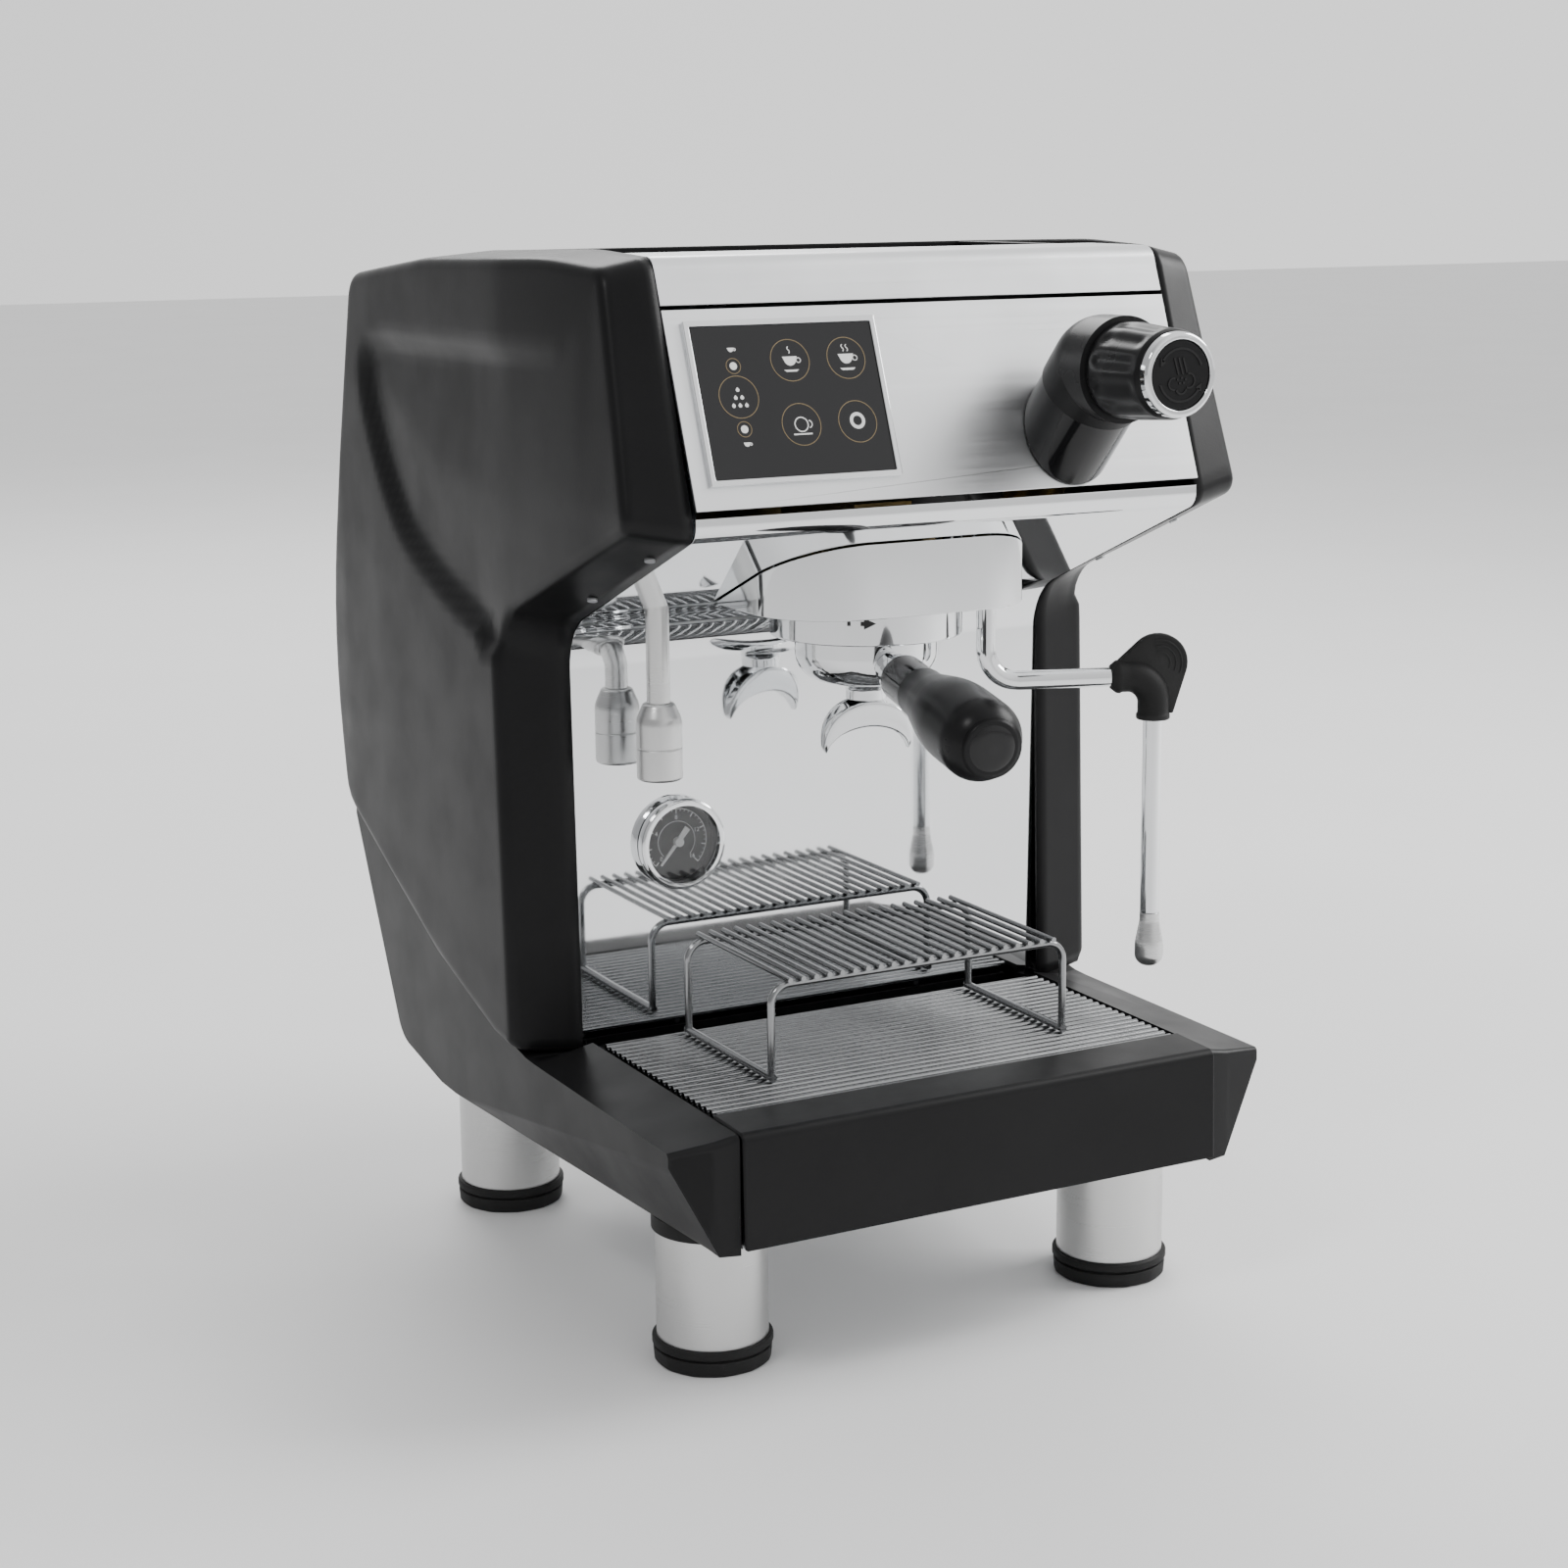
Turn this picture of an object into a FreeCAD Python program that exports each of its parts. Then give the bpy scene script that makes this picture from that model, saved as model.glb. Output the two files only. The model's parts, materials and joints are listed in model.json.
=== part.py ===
"""Single-group espresso machine, millimetres, +Z up.

The origin is on the counter, under the middle of the machine's outline.
-Y is the barista's side, +X is the side of the steam wand.
Each physical piece is one document object, written as parts/<label>.step.
"""
import FreeCAD, Part
import math
import os
import re
import Sketcher
from FreeCAD import Placement, Rotation, Vector

doc = FreeCAD.newDocument("EspressoMachine")

# ---------------------------------------------------------------- dimensions
DIMS = {
    # body shell
    "inner_x": 126, "front_edge_x": 156, "belly_x": 163, "skin": 3, "sheet": 1.2,
    "splash_y": -12, "sheet_half": 125.7, "rear_y": 163,
    # base
    "base_inner_x": 122.3, "base_foot_x": 132, "base_edge_x": 153, "fascia_half": 122,
    "pan_z": 73.4, "pan_gauge": 2, "pan_front": -172.5, "pan_back": 150,
    # feet
    "foot_x": 107.3, "foot_front": -112, "foot_back": 124.4, "tube_radius": 25.4,
    "pad_radius": 27.6, "pad_height": 12, "tube_top": 63, "collar_radius": 27,
    "collar_top": 70.2, "boss_radius": 14,
    # drip tray, grid and cup stand
    "tray_half": 118.6, "tray_front": -143.5, "tray_back": -26, "tray_floor": 75.8,
    "tray_top": 119.3, "tray_wall": 1.5, "wire": 1.5, "grid_z": 123.6, "grid_half": 119,
    "grid_front": -143, "grid_pitch": 5.5, "rod_x": 67, "rod_end_x": 117.2, "rod_z": 121.2,
    "stand_left": -78, "stand_right": 76, "stand_front": -116, "stand_back": -32,
    "stand_base": 127.3, "stand_rod": 1.8, "stand_top": 169.5, "stand_wire": 1.2,
    "stand_wire_z": 172.1, "stand_pitch": 6.6, "stand_bend": 9,
    # head
    "lean": 69.2, "control_x": -72.5, "control_y": -130.7, "control_z": 428,
    "bezel_w": 91, "bezel_tall": 71, "bezel_lip": 2.2, "glass_w": 86, "glass_tall": 66,
    "tray_deck": 477, "deck_top": 488, "deck_front": -59.5, "deck_back": 60,
    # steam valve and knob
    "knob_x": 61, "knob_root_y": -138.2, "knob_root_z": 409, "knob_rise": 43.5,
    "elbow_y": -166, "knob_z": 438.3, "neck_radius": 22.2, "neck_seam": 26, "elbow_radius": 22.9,
    "knob_radius": 20.5, "knob_back": -181.9, "knob_front": -218.6,
    "cap_radius": 14.6, "ring_radius": 18, "stem_radius": 5, "journal_radius": 9,
    # group and portafilter
    "group_y": -65, "cover_half": 66, "cover_front": -121, "cover_round": 38,
    "cover_rim": 330, "cover_wall": 1.5, "group_radius": 36, "collar_outer": 44.5,
    "collar_lip": 33.5, "collar_low": 315, "collar_high": 334, "handle_swing": 10,
    "handle_dip": 6.6, "handle_z": 307, "spout_depth": 17,
    # water and steam outlets
    "water_x": -92, "water_y": -35, "water_radius": 5.4, "steam_x": 48, "steam_y": -92,
    "steam_yaw": -18.9, "steam_radius": 4.5, "arm_z": 291.5, "arm_reach": 80, "arm_bend": 15,
    "grip_low": 271, "wand_high": 270.9, "tip_high": 178, "tip_low": 152, "grip_radius": 8,
    "grip_round": 12, "fin_high": 311.4, "fin_low": 273.5, "fin_round": 13.9, "fin_gauge": 5,
    "tube_bore": 2,
    # gauge
    "gauge_x": -72.5, "gauge_z": 213.7, "gauge_radius": 21.9,
    # back
    "vent_left": -70, "vent_pitch": 20, "vent_width": 10, "vent_low": 330, "vent_high": 336,
    "inlet_x": 70, "socket_z": 116, "inlet_half": 18, "inlet_half_tall": 14,
    "inlet_wall": 2.2, "inlet_depth": 18, "pin_radius": 1.6, "pin_length": 14, "pin_step": 7,
    "rocker_x": 30.5, "rocker_half": 9.3, "rocker_gap": 0.7, "pivot_radius": 5,
    # inside
    "tank_half": 97, "tank_front": 69, "tank_back": 153, "tank_low": 258, "tank_high": 475.6,
    "rear_top": 476, "lid_low": 476.4, "lid_high": 480.4,
    "tank_wall": 2.5, "boiler_y": 25, "boiler_radius": 38, "boiler_low": 345, "boiler_high": 452,
    "pump_radius": 21, "heater_radius": 4, "shelf_gauge": 2, "heater_low": 352,
    "heater_high": 430, "heater_half": 12, "pump_left": -90, "pump_length": 70, "pump_y": 100,
    "outlet_radius": 8, "outlet_length": 22, "screw_x": 134, "screw_radius": 2.3,
    "screw_head": 1.1,
}

sheet = doc.addObject("Spreadsheet::Sheet", "Size")
for row, (alias, value) in enumerate(DIMS.items(), 1):
    sheet.set(f"A{row}", alias)
    sheet.set(f"B{row}", str(value))
    sheet.setAlias(f"B{row}", alias)
doc.recompute()

NODES = []


def bind(thing, prop, text):
    """Drives a property by an expression in which size names are plain words."""
    named = re.sub(r"[a-z][a-z0-9_]*", lambda m: "Size." + m.group(0) if m.group(0) in DIMS
                   else m.group(0), str(text))
    thing.setExpression(prop, named)


def size_of(text):
    """Number behind a size name, or behind a size name with a minus sign."""
    if not isinstance(text, str):
        return text
    return -DIMS[text[1:]] if text.startswith("-") else DIMS[text]


def place(thing, at, turn=None):
    if turn is not None:
        thing.Placement = Placement(Vector(0, 0, 0), turn)
    for letter, text in zip("xyz", at):
        bind(thing, f"Placement.Base.{letter}", text)
    return thing


def node(thing, label):
    thing.Label = label
    NODES.append(thing)
    return thing


def box(dims, at, turn=None):
    thing = doc.addObject("Part::Box", "Block")
    for prop, text in zip(("Length", "Width", "Height"), dims):
        bind(thing, prop, text)
    return place(thing, at, turn)


def span(low, high):
    """Box between two corners."""
    dims = [f"({b}) - ({a})" for a, b in zip(low, high)]
    return box(dims, low)


def rod(radius, length, at, turn=None):
    thing = doc.addObject("Part::Cylinder", "Round")
    bind(thing, "Radius", radius)
    bind(thing, "Height", length)
    return place(thing, at, turn)


def ball(radius, at):
    thing = doc.addObject("Part::Sphere", "Ball")
    bind(thing, "Radius", radius)
    return place(thing, at)


def fuse(parts):
    thing = doc.addObject("Part::MultiFuse", "Joined")
    thing.Shapes = parts
    return thing


def cut(base, tools):
    thing = doc.addObject("Part::Cut", "Carved")
    thing.Base = base
    thing.Tool = tools[0] if len(tools) == 1 else fuse(tools)
    return thing


def group(parts):
    """Separate solids kept in one object."""
    thing = doc.addObject("Part::Compound", "Set")
    thing.Links = parts
    return thing


def mirror(source):
    thing = doc.addObject("Part::Mirroring", "Mirrored")
    thing.Source = source
    thing.Normal = Vector(1, 0, 0)
    return thing


def origin_plane(body, role):
    return [p for p in body.Origin.OriginFeatures if p.Role == role][0]


def outline(body, role, points, lift=0):
    """Closed sketch on an origin plane; a rounded corner is (a, b, radius), a sharp one (a, b)."""
    sketch = body.newObject("Sketcher::SketchObject", "Outline")
    sketch.AttachmentSupport = [(origin_plane(body, role), "")]
    sketch.MapMode = "FlatFace"
    if lift:
        bind(sketch, "AttachmentOffset.Base.z", lift)
    corners = [Vector(size_of(p[0]), size_of(p[1]), 0) for p in points]
    rounds = [p[2] if len(p) > 2 else 0 for p in points]
    count = len(points)
    entered, left = [], []
    for i, here in enumerate(corners):
        heading = (here - corners[i - 1]).normalize()
        leaving = (corners[(i + 1) % count] - here).normalize()
        back = rounds[i] * math.tan(heading.getAngle(leaving) / 2)
        entered.append(here - heading * back)
        left.append(here + leaving * back)
    for i in range(count):
        sketch.addGeometry(Part.LineSegment(left[i], entered[(i + 1) % count]), False)
    for i, here in enumerate(corners):
        before = (i - 1) % count
        held = i
        if rounds[i]:
            held = round_corner(sketch, before, i, here, entered[i], left[i], rounds[i])
        else:
            sketch.addConstraint(Sketcher.Constraint("Coincident", before, 2, i, 1))
        for kind, text in (("DistanceX", points[i][0]), ("DistanceY", points[i][1])):
            index = sketch.addConstraint(
                Sketcher.Constraint(kind, -1, 1, held, 1, size_of(text)))
            if isinstance(text, str):
                bind(sketch, f"Constraints[{index}]", text)
    return sketch


def round_corner(sketch, before, after, corner, enter, leave, radius):
    """Arc tangent to two lines; gives back the construction point that marks their corner."""
    towards = ((enter + leave) * 0.5 - corner).normalize()
    reach = math.hypot((enter - corner).Length, radius)
    arc = sketch.addGeometry(Part.Arc(enter, corner + towards * (reach - radius), leave), False)
    mark = sketch.addGeometry(Part.Point(corner), True)
    turns_left = (corner - enter).cross(leave - corner).z > 0
    first, last = (1, 2) if turns_left else (2, 1)
    sketch.addConstraint([
        Sketcher.Constraint("Tangent", before, 2, arc, first),
        Sketcher.Constraint("Tangent", arc, last, after, 1),
        Sketcher.Constraint("Radius", arc, radius),
        Sketcher.Constraint("PointOnObject", mark, 1, before),
        Sketcher.Constraint("PointOnObject", mark, 1, after)])
    return mark


def prism(role, points, length, at=("0", "0", "0"), turn=None):
    """Polygon pushed out evenly to both sides of its plane."""
    body = doc.addObject("PartDesign::Body", "Prism")
    sketch = outline(body, role, points)
    pad = body.newObject("PartDesign::Pad", "Push")
    pad.Profile = sketch
    pad.SideType = "Symmetric"
    bind(pad, "Length", length)
    return place(body, at, turn)


def turned(points, at, turn=None):
    """Polygon of (radius, height) corners spun about the local Z axis."""
    body = doc.addObject("PartDesign::Body", "Turned")
    sketch = outline(body, "XZ_Plane", points)
    spin = body.newObject("PartDesign::Revolution", "Spin")
    spin.Profile = sketch
    spin.ReferenceAxis = (sketch, ["V_Axis"])
    spin.Angle = 360
    return place(body, at, turn)


def bent_rod(radius, points, bend, at, turn=None):
    """Round rod along (x, z) corners in the local XZ plane, rounded; it starts out vertical."""
    body = doc.addObject("PartDesign::Body", "BentRod")
    path = body.newObject("Sketcher::SketchObject", "Path")
    path.AttachmentSupport = [(origin_plane(body, "XZ_Plane"), "")]
    path.MapMode = "FlatFace"
    corners = [Vector(a, b, 0) for a, b in points]
    start = corners[0]
    for i in range(1, len(corners)):
        heading = (corners[i] - corners[i - 1]).normalize()
        if i == len(corners) - 1:
            path.addGeometry(Part.LineSegment(start, corners[i]), False)
            break
        leaving = (corners[i + 1] - corners[i]).normalize()
        turn_angle = heading.getAngle(leaving)
        back = bend * math.tan(turn_angle / 2)
        first = corners[i] - heading * back
        last = corners[i] + leaving * back
        middle = corners[i] + (leaving - heading).normalize() * (
            bend / math.cos(turn_angle / 2) - bend)
        path.addGeometry(Part.LineSegment(start, first), False)
        path.addGeometry(Part.Arc(first, middle, last), False)
        start = last
    section = body.newObject("Sketcher::SketchObject", "Section")
    section.AttachmentSupport = [(origin_plane(body, "XY_Plane"), "")]
    section.MapMode = "FlatFace"
    section.AttachmentOffset = Placement(Vector(points[0][0], 0, points[0][1]), Rotation())
    section.addGeometry(Part.Circle(Vector(0, 0, 0), Vector(0, 0, 1), size_of(radius)), False)
    section.addConstraint(Sketcher.Constraint("Coincident", 0, 3, -1, 1))
    index = section.addConstraint(Sketcher.Constraint("Radius", 0, size_of(radius)))
    bind(section, f"Constraints[{index}]", radius)
    doc.recompute()
    pipe = body.newObject("PartDesign::AdditivePipe", "Bend")
    pipe.Profile = section
    pipe.Spine = (path, [f"Edge{n + 1}" for n in range(path.GeometryCount)])
    return place(body, at, turn)


def shifted(points, depth, closed):
    """Corners of a line moved to its left by the depth, the roundings staying concentric."""
    count = len(points)
    moved = []
    for i, here in enumerate(points):
        runs = []
        if closed or i > 0:
            runs.append((points[i - 1], here))
        if closed or i < count - 1:
            runs.append((here, points[(i + 1) % count]))
        normals = [Vector(a[1] - b[1], b[0] - a[0], 0).normalize() for a, b in runs]
        n1, n2 = normals[0], normals[-1]
        mitre = (n1 + n2) * (depth / (1 + n1.dot(n2)))
        corner = (here[0] + mitre.x, here[1] + mitre.y)
        if len(here) > 2:
            side = 1 if n1.cross(n2).z > 0 else -1
            corner += (max(here[2] - side * depth, 0.2),)
        moved.append(corner)
    return moved


def inset(points, depth):
    """The same outline with every side moved inwards."""
    area = sum(points[i - 1][0] * points[i][1] - points[i][0] * points[i - 1][1]
               for i in range(len(points)))
    return shifted(points, depth if area > 0 else -depth, True)


def thick(points, depth):
    """Closed strip between an open line and the same line moved to its right."""
    return points + shifted(points, -depth, False)[::-1]


def shell(sections, hollow):
    """Loft through polygons at stated x, with a second loft taken out of its open side."""
    body = doc.addObject("PartDesign::Body", "Shell")
    for kind, series in (("PartDesign::AdditiveLoft", sections),
                         ("PartDesign::SubtractiveLoft", hollow)):
        sketches = [outline(body, "YZ_Plane", points, at) for at, points in series]
        loft = body.newObject(kind, "Skin")
        loft.Profile = sketches[0]
        loft.Sections = sketches[1:]
        loft.Ruled = True
    return body


UP_X = Rotation(Vector(0, 1, 0), 90)
TO_BACK = Rotation(Vector(1, 0, 0), -90)
TO_FRONT = Rotation(Vector(1, 0, 0), 90)
PANEL_TURN = Rotation(Vector(1, 0, 0), DIMS["lean"])
KNOB_TURN = Rotation(Vector(1, 0, 0), DIMS["knob_rise"])

# ------------------------------------------------------------- side panels
EDGE = [(-19, 121), (-14, 320, 24), (-147, 374, 8), (-109, 488, 12), (-56, 490.5, 300),
        (68, 488, 300), (172, 478.5, 16), (223, 290, 220), (205, 203), (80, 147), (11, 124)]
BROW = [(-12, 123), (-5, 325, 24), (-140, 378, 8), (-105, 484, 12), (-56, 488, 300),
        (68, 485.5, 300), (168, 476, 16), (221, 290, 220), (203, 206), (80, 149), (11, 126)]
BELLY = [(4, 142), (13, 340, 24), (-125, 391, 8), (-94, 472, 14), (-50, 476, 300),
         (62, 473, 300), (154, 463, 18), (206, 290, 220), (190, 218), (80, 167), (18, 145)]
side_panel = shell(
    [("inner_x", EDGE), ("front_edge_x", BROW), ("belly_x", BELLY)],
    [("inner_x", inset(EDGE, 4)), ("front_edge_x", inset(BROW, 5)),
     ("belly_x - skin", inset(BELLY, 6))])
node(side_panel, "side_panel_right")
node(mirror(side_panel), "side_panel_left")

BASE_IN = [(-171.5, 124.2, 3), (-20, 124.5), (-19.6, 120.4), (11, 123.4), (80, 146.4),
           (205, 202.4), (219, 196, 4), (155, 84.4, 20), (100, 75), (-150, 71), (-171.5, 70.5)]
BASE_MID = [(-170, 122, 3), (-20, 122.5), (-19, 120.4), (11, 123.4), (80, 146.4),
            (205, 202.4), (218, 196, 4), (155, 85, 20), (100, 75.5), (-160, 71.2), (-170, 71)]
BASE_OUT = [(-165, 119, 2), (-22, 119.2), (-12, 119.6), (11, 123.4), (80, 146.4),
            (203, 202.4), (214, 196, 4), (155, 86, 20), (100, 76.5), (80, 76), (-165, 113)]
base_cover = shell(
    [("base_inner_x", BASE_IN), ("base_foot_x", BASE_MID), ("base_edge_x", BASE_OUT)],
    [("base_inner_x", inset(BASE_IN, 2.5)), ("base_foot_x", inset(BASE_MID, 3.5)),
     ("base_edge_x - skin", inset(BASE_OUT, 2.5))])
node(base_cover, "base_cover_right")
node(mirror(base_cover), "base_cover_left")

# ---------------------------------------------------------------- base
FASCIA = [(-175.6, 73.5), (-173.9, 125, 4), (-145.4, 125.6), (-145.4, 123.6),
          (-171.8, 123, 2), (-173.4, 73.5)]
node(prism("YZ_Plane", FASCIA, "2 * fascia_half"), "front_fascia")

pan_floor = span(("-fascia_half", "pan_front", "pan_z"),
                 ("fascia_half", "pan_back", "pan_z + pan_gauge"))
pan_step = span(("-fascia_half", "splash_y + 2", "pan_z + pan_gauge"),
                ("fascia_half", "splash_y + 4", "118.5"))
FEET = [(sx, sy) for sx in ("-foot_x", "foot_x") for sy in ("foot_front", "foot_back")]
bosses = [rod("boss_radius", "pan_z - collar_top + 1", (sx, sy, "collar_top")) for sx, sy in FEET]
node(fuse([pan_floor, pan_step] + bosses), "base_pan")

node(group([rod("collar_radius", "collar_top - tube_top", (sx, sy, "tube_top"))
            for sx, sy in FEET]), "foot_collars")
foot_tubes = []
for sx, sy in FEET:
    outer = rod("tube_radius", "tube_top - pad_height", (sx, sy, "pad_height"))
    bore = rod("tube_radius - 2", "tube_top - pad_height", (sx, sy, "pad_height - 4"))
    foot_tubes.append(cut(outer, [bore]))
node(group(foot_tubes), "foot_tubes")
PAD = [(0, 0), (27.2, 0, 2), (27.2, 7.2), (26.2, 7.8), ("pad_radius", 8.4),
       ("pad_radius", "pad_height", 1), (0, "pad_height")]
node(group([turned(PAD, (sx, sy, "0")) for sx, sy in FEET]), "foot_pads")

tray_block = span(("-tray_half", "tray_front", "tray_floor"),
                  ("tray_half", "tray_back", "tray_top"))
tray_room = span(("-tray_half + tray_wall", "tray_front + tray_wall", "tray_floor + tray_wall"),
                 ("tray_half - tray_wall", "tray_back - tray_wall", "tray_top + 1"))
node(cut(tray_block, [tray_room]), "drip_tray")

# wires across the tray, welded on rods that run front to back
GRID_WIRES = 22
grid = [rod("wire", "2 * grid_half", ("-grid_half", f"grid_front + {i} * grid_pitch", "grid_z"), UP_X)
        for i in range(GRID_WIRES)]
for at in ("-rod_end_x", "-rod_x", "rod_x", "rod_end_x"):
    grid.append(rod("wire", f"{GRID_WIRES - 1} * grid_pitch", (at, "grid_front", "rod_z"), TO_BACK))
node(fuse(grid), "drip_grid")

# cup stand: two bent rods, two foot rods, wires front to back
left, right = DIMS["stand_left"], DIMS["stand_right"]
low, high = DIMS["stand_base"], DIMS["stand_top"]
STAND_PATH = [(left, low), (left, high), (right, high), (right, low)]
stand = [bent_rod("stand_rod", STAND_PATH, DIMS["stand_bend"], ("0", at, "0"))
         for at in ("stand_front", "stand_back")]
for at in ("stand_left", "stand_right"):
    stand.append(rod("stand_rod", "stand_back - stand_front + 3.6",
                     (at, "stand_front - stand_rod", "stand_base"), TO_BACK))
STAND_WIRES = 22
for i in range(STAND_WIRES):
    stand.append(rod("stand_wire", "stand_back - stand_front + 9",
                     (f"stand_left + 7.7 + {i} * stand_pitch", "stand_front - 4.5",
                      "stand_wire_z"), TO_BACK))
node(fuse(stand), "cup_stand")

# ---------------------------------------------------------------- splash sheet
# one bent sheet: splash wall, bend, sloping underside of the head and rolled nose
BACK_FACE = [(-12, 119.5), (-12, 319, 28), (-145.9, 374, 8), (-145.6, 382.5)]
splash = prism("YZ_Plane", thick(BACK_FACE, DIMS["sheet"]), "2 * sheet_half")
splash_holes = [
    rod("collar_outer + 0.8", "80", ("0", "group_y", "300")),
    rod("8.4", "80", ("steam_x", "steam_y", "310")),
    rod("water_radius + 0.5", "60", ("water_x", "water_y", "300")),
    rod("20.2", "20", ("gauge_x", "splash_y - 5", "gauge_z"), TO_BACK),
]
# the sheet's lower corners are notched where the base covers rise beside them
for low_x, high_x in (("-sheet_half - 1", "-fascia_half"), ("fascia_half", "sheet_half + 1")):
    splash_holes.append(span((low_x, "splash_y - 3", "118"), (high_x, "splash_y + 4", "123.6")))
node(cut(splash, splash_holes), "splash_sheet")

# ---------------------------------------------------------------- head
def on_panel(dims, lift):
    """Box centred on the control panel's face, its underside raised along the face's normal."""
    wide, tall, deep = dims
    thing = box((wide, tall, deep), (f"control_x - ({wide}) / 2", "0", "0"), PANEL_TURN)
    bind(thing, "Placement.Base.y",
         f"control_y - ({tall}) / 2 * cos(lean) - ({lift}) * sin(lean)")
    bind(thing, "Placement.Base.z",
         f"control_z - ({tall}) / 2 * sin(lean) + ({lift}) * cos(lean)")
    return thing


PANEL = [(-146.7, 385.8), (-116.1, 466.5), (-114.7, 465.9), (-145.3, 385.3)]
control_hole = on_panel(("glass_w - 3", "glass_tall - 3", "30"), "-15")
stem_hole = rod("12", "60", ("knob_x", "knob_root_y + 20.7", "knob_root_z - 21.8"), KNOB_TURN)
head_panel = prism("YZ_Plane", PANEL, "2 * sheet_half")
node(cut(head_panel, [control_hole, stem_hole]), "head_panel")

STRIP = [(-115.4, 468.3), (-107.9, 488.2, 8), (-60, 488.6)]
node(prism("YZ_Plane", thick(STRIP, DIMS["sheet"]), "2 * sheet_half"), "head_strip")

cup_deck = span(("-sheet_half", "deck_front", "tray_deck - 2"),
                ("sheet_half", "deck_back", "deck_top"))
cup_room = span(("-sheet_half + 3", "deck_front + 3", "tray_deck"),
                ("sheet_half - 3", "deck_back - 3", "deck_top + 1"))
node(cut(cup_deck, [cup_room]), "cup_tray")

REAR = [(150.2, 75.4), ("rear_y", 101), ("rear_y", "rear_top"), (164.5, "rear_top"), (164.5, 100.6),
        (151.6, 74.8)]
rear_wall = prism("YZ_Plane", REAR, "2 * fascia_half")
rear_deck = span(("-sheet_half", "deck_back + 0.5", "rear_top - 2"),
                 ("sheet_half", "rear_y + 1.5", "rear_top"))
deck_hole = span(("-tank_half - 3", "tank_front - 3", "rear_top - 6"),
                 ("tank_half + 3", "tank_back + 3", "rear_top + 6"))


def rear_hole(at_x, half_x, half_z):
    """Rectangle through the rear wall at the height of the mains socket."""
    return span((f"{at_x} - ({half_x})", "rear_y - 5", f"socket_z - ({half_z})"),
                (f"{at_x} + {half_x}", "rear_y + 5", f"socket_z + {half_z}"))


VENTS = 8
rear_holes = [deck_hole, rear_hole("inlet_x", "inlet_half - 4", "inlet_half_tall - 4"),
              rear_hole("rocker_x", "rocker_half + rocker_gap", "rocker_half + rocker_gap")]
for i in range(VENTS):
    rear_holes.append(span((f"vent_left + {i} * vent_pitch", "rear_y - 5", "vent_low"),
                           (f"vent_left + vent_width + {i} * vent_pitch", "rear_y + 5",
                            "vent_high")))
node(cut(fuse([rear_wall, rear_deck]), rear_holes), "rear_panel")

# ---------------------------------------------------------------- control panel
bezel = cut(on_panel(("bezel_w", "bezel_tall", "bezel_lip"), "0.05"),
            [on_panel(("glass_w", "glass_tall", "bezel_lip + 8"), "-4")])
node(bezel, "panel_bezel")
node(on_panel(("glass_w - 0.4", "glass_tall - 0.4", "1.6"), "0.1"), "panel_glass")
node(on_panel(("glass_w - 4", "glass_tall - 4", "7"), "-7"), "panel_board")

# ---------------------------------------------------------------- steam valve and knob
SLAB = 200


def off_panel(low, high):
    """Slab round the knob's root, between two distances in front of the head panel's face."""
    thing = box((f"{SLAB}", f"{SLAB}", f"({high}) - ({low})"),
                (f"knob_x - {SLAB / 2}", "0", "0"), PANEL_TURN)
    bind(thing, "Placement.Base.y",
         f"knob_root_y - {SLAB / 2} * cos(lean) - ({low}) * sin(lean)")
    bind(thing, "Placement.Base.z",
         f"knob_root_z - {SLAB / 2} * sin(lean) + ({low}) * cos(lean)")
    return thing


def along_neck(radius, start, end):
    """Cylinder on the neck's axis, between two distances from the head panel."""
    return rod(radius, f"({end}) - ({start})",
               ("knob_x", f"knob_root_y - ({start}) * sin(knob_rise)",
                f"knob_root_z + ({start}) * cos(knob_rise)"), KNOB_TURN)


node(cut(along_neck("neck_radius", "-16", "neck_seam"),
         [off_panel("-120", "0.4"), along_neck("18.5", "-24", "neck_seam + 4")]), "knob_base")
elbow = fuse([along_neck("elbow_radius", "neck_seam + 0.2", "40.4"),
              ball("elbow_radius", ("knob_x", "elbow_y", "knob_z")),
              rod("elbow_radius", "elbow_y - knob_back - 0.5", ("knob_x", "elbow_y", "knob_z"),
                  TO_FRONT)])
node(cut(elbow, [along_neck("9", "12", "34"),
                 rod("journal_radius + 0.4", "20", ("knob_x", "elbow_y - 4", "knob_z"), TO_FRONT),
                 span(("knob_x - 30", "knob_back - 40", "knob_z - 30"),
                      ("knob_x + 30", "knob_back + 0.5", "knob_z + 30"))]),
     "knob_elbow")
KNOB = [(0, -9), ("journal_radius", -9), ("journal_radius", 0), ("knob_radius", 0, 1.2),
        ("knob_radius", 12, 60), (19, 34, 4), (18.2, 36.7), (0, 36.7)]
FLUTES = 12
flutes = []
for i in range(FLUTES):
    angle = 2 * math.pi * (i + 0.5) / FLUTES
    flutes.append(rod("2.2", "26", (f"knob_x + {22.3 * math.cos(angle):.4f}", "knob_back - 4",
                                    f"knob_z + {22.3 * math.sin(angle):.4f}"), TO_FRONT))
node(cut(turned(KNOB, ("knob_x", "knob_back", "knob_z"), TO_FRONT), flutes), "steam_knob")
RING = [("cap_radius", 0.1), ("ring_radius", 0.1), (17.6, 3.9, 1.6), ("cap_radius", 3.9, 0.6)]
node(turned(RING, ("knob_x", "knob_front", "knob_z"), TO_FRONT), "knob_ring")
CAP = [(0, 0.1), (14.5, 0.1), (14.5, 3.3, 0.8), (0, 3.3)]
node(turned(CAP, ("knob_x", "knob_front", "knob_z"), TO_FRONT), "knob_cap")
node(along_neck("stem_radius", "-44", "22"), "valve_stem")
valve = cut(along_neck("12", "-50", "6"),
            [along_neck("stem_radius + 0.4", "-44.5", "30")])
node(cut(valve, [off_panel("-2.3", "60")]), "steam_valve")

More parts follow.
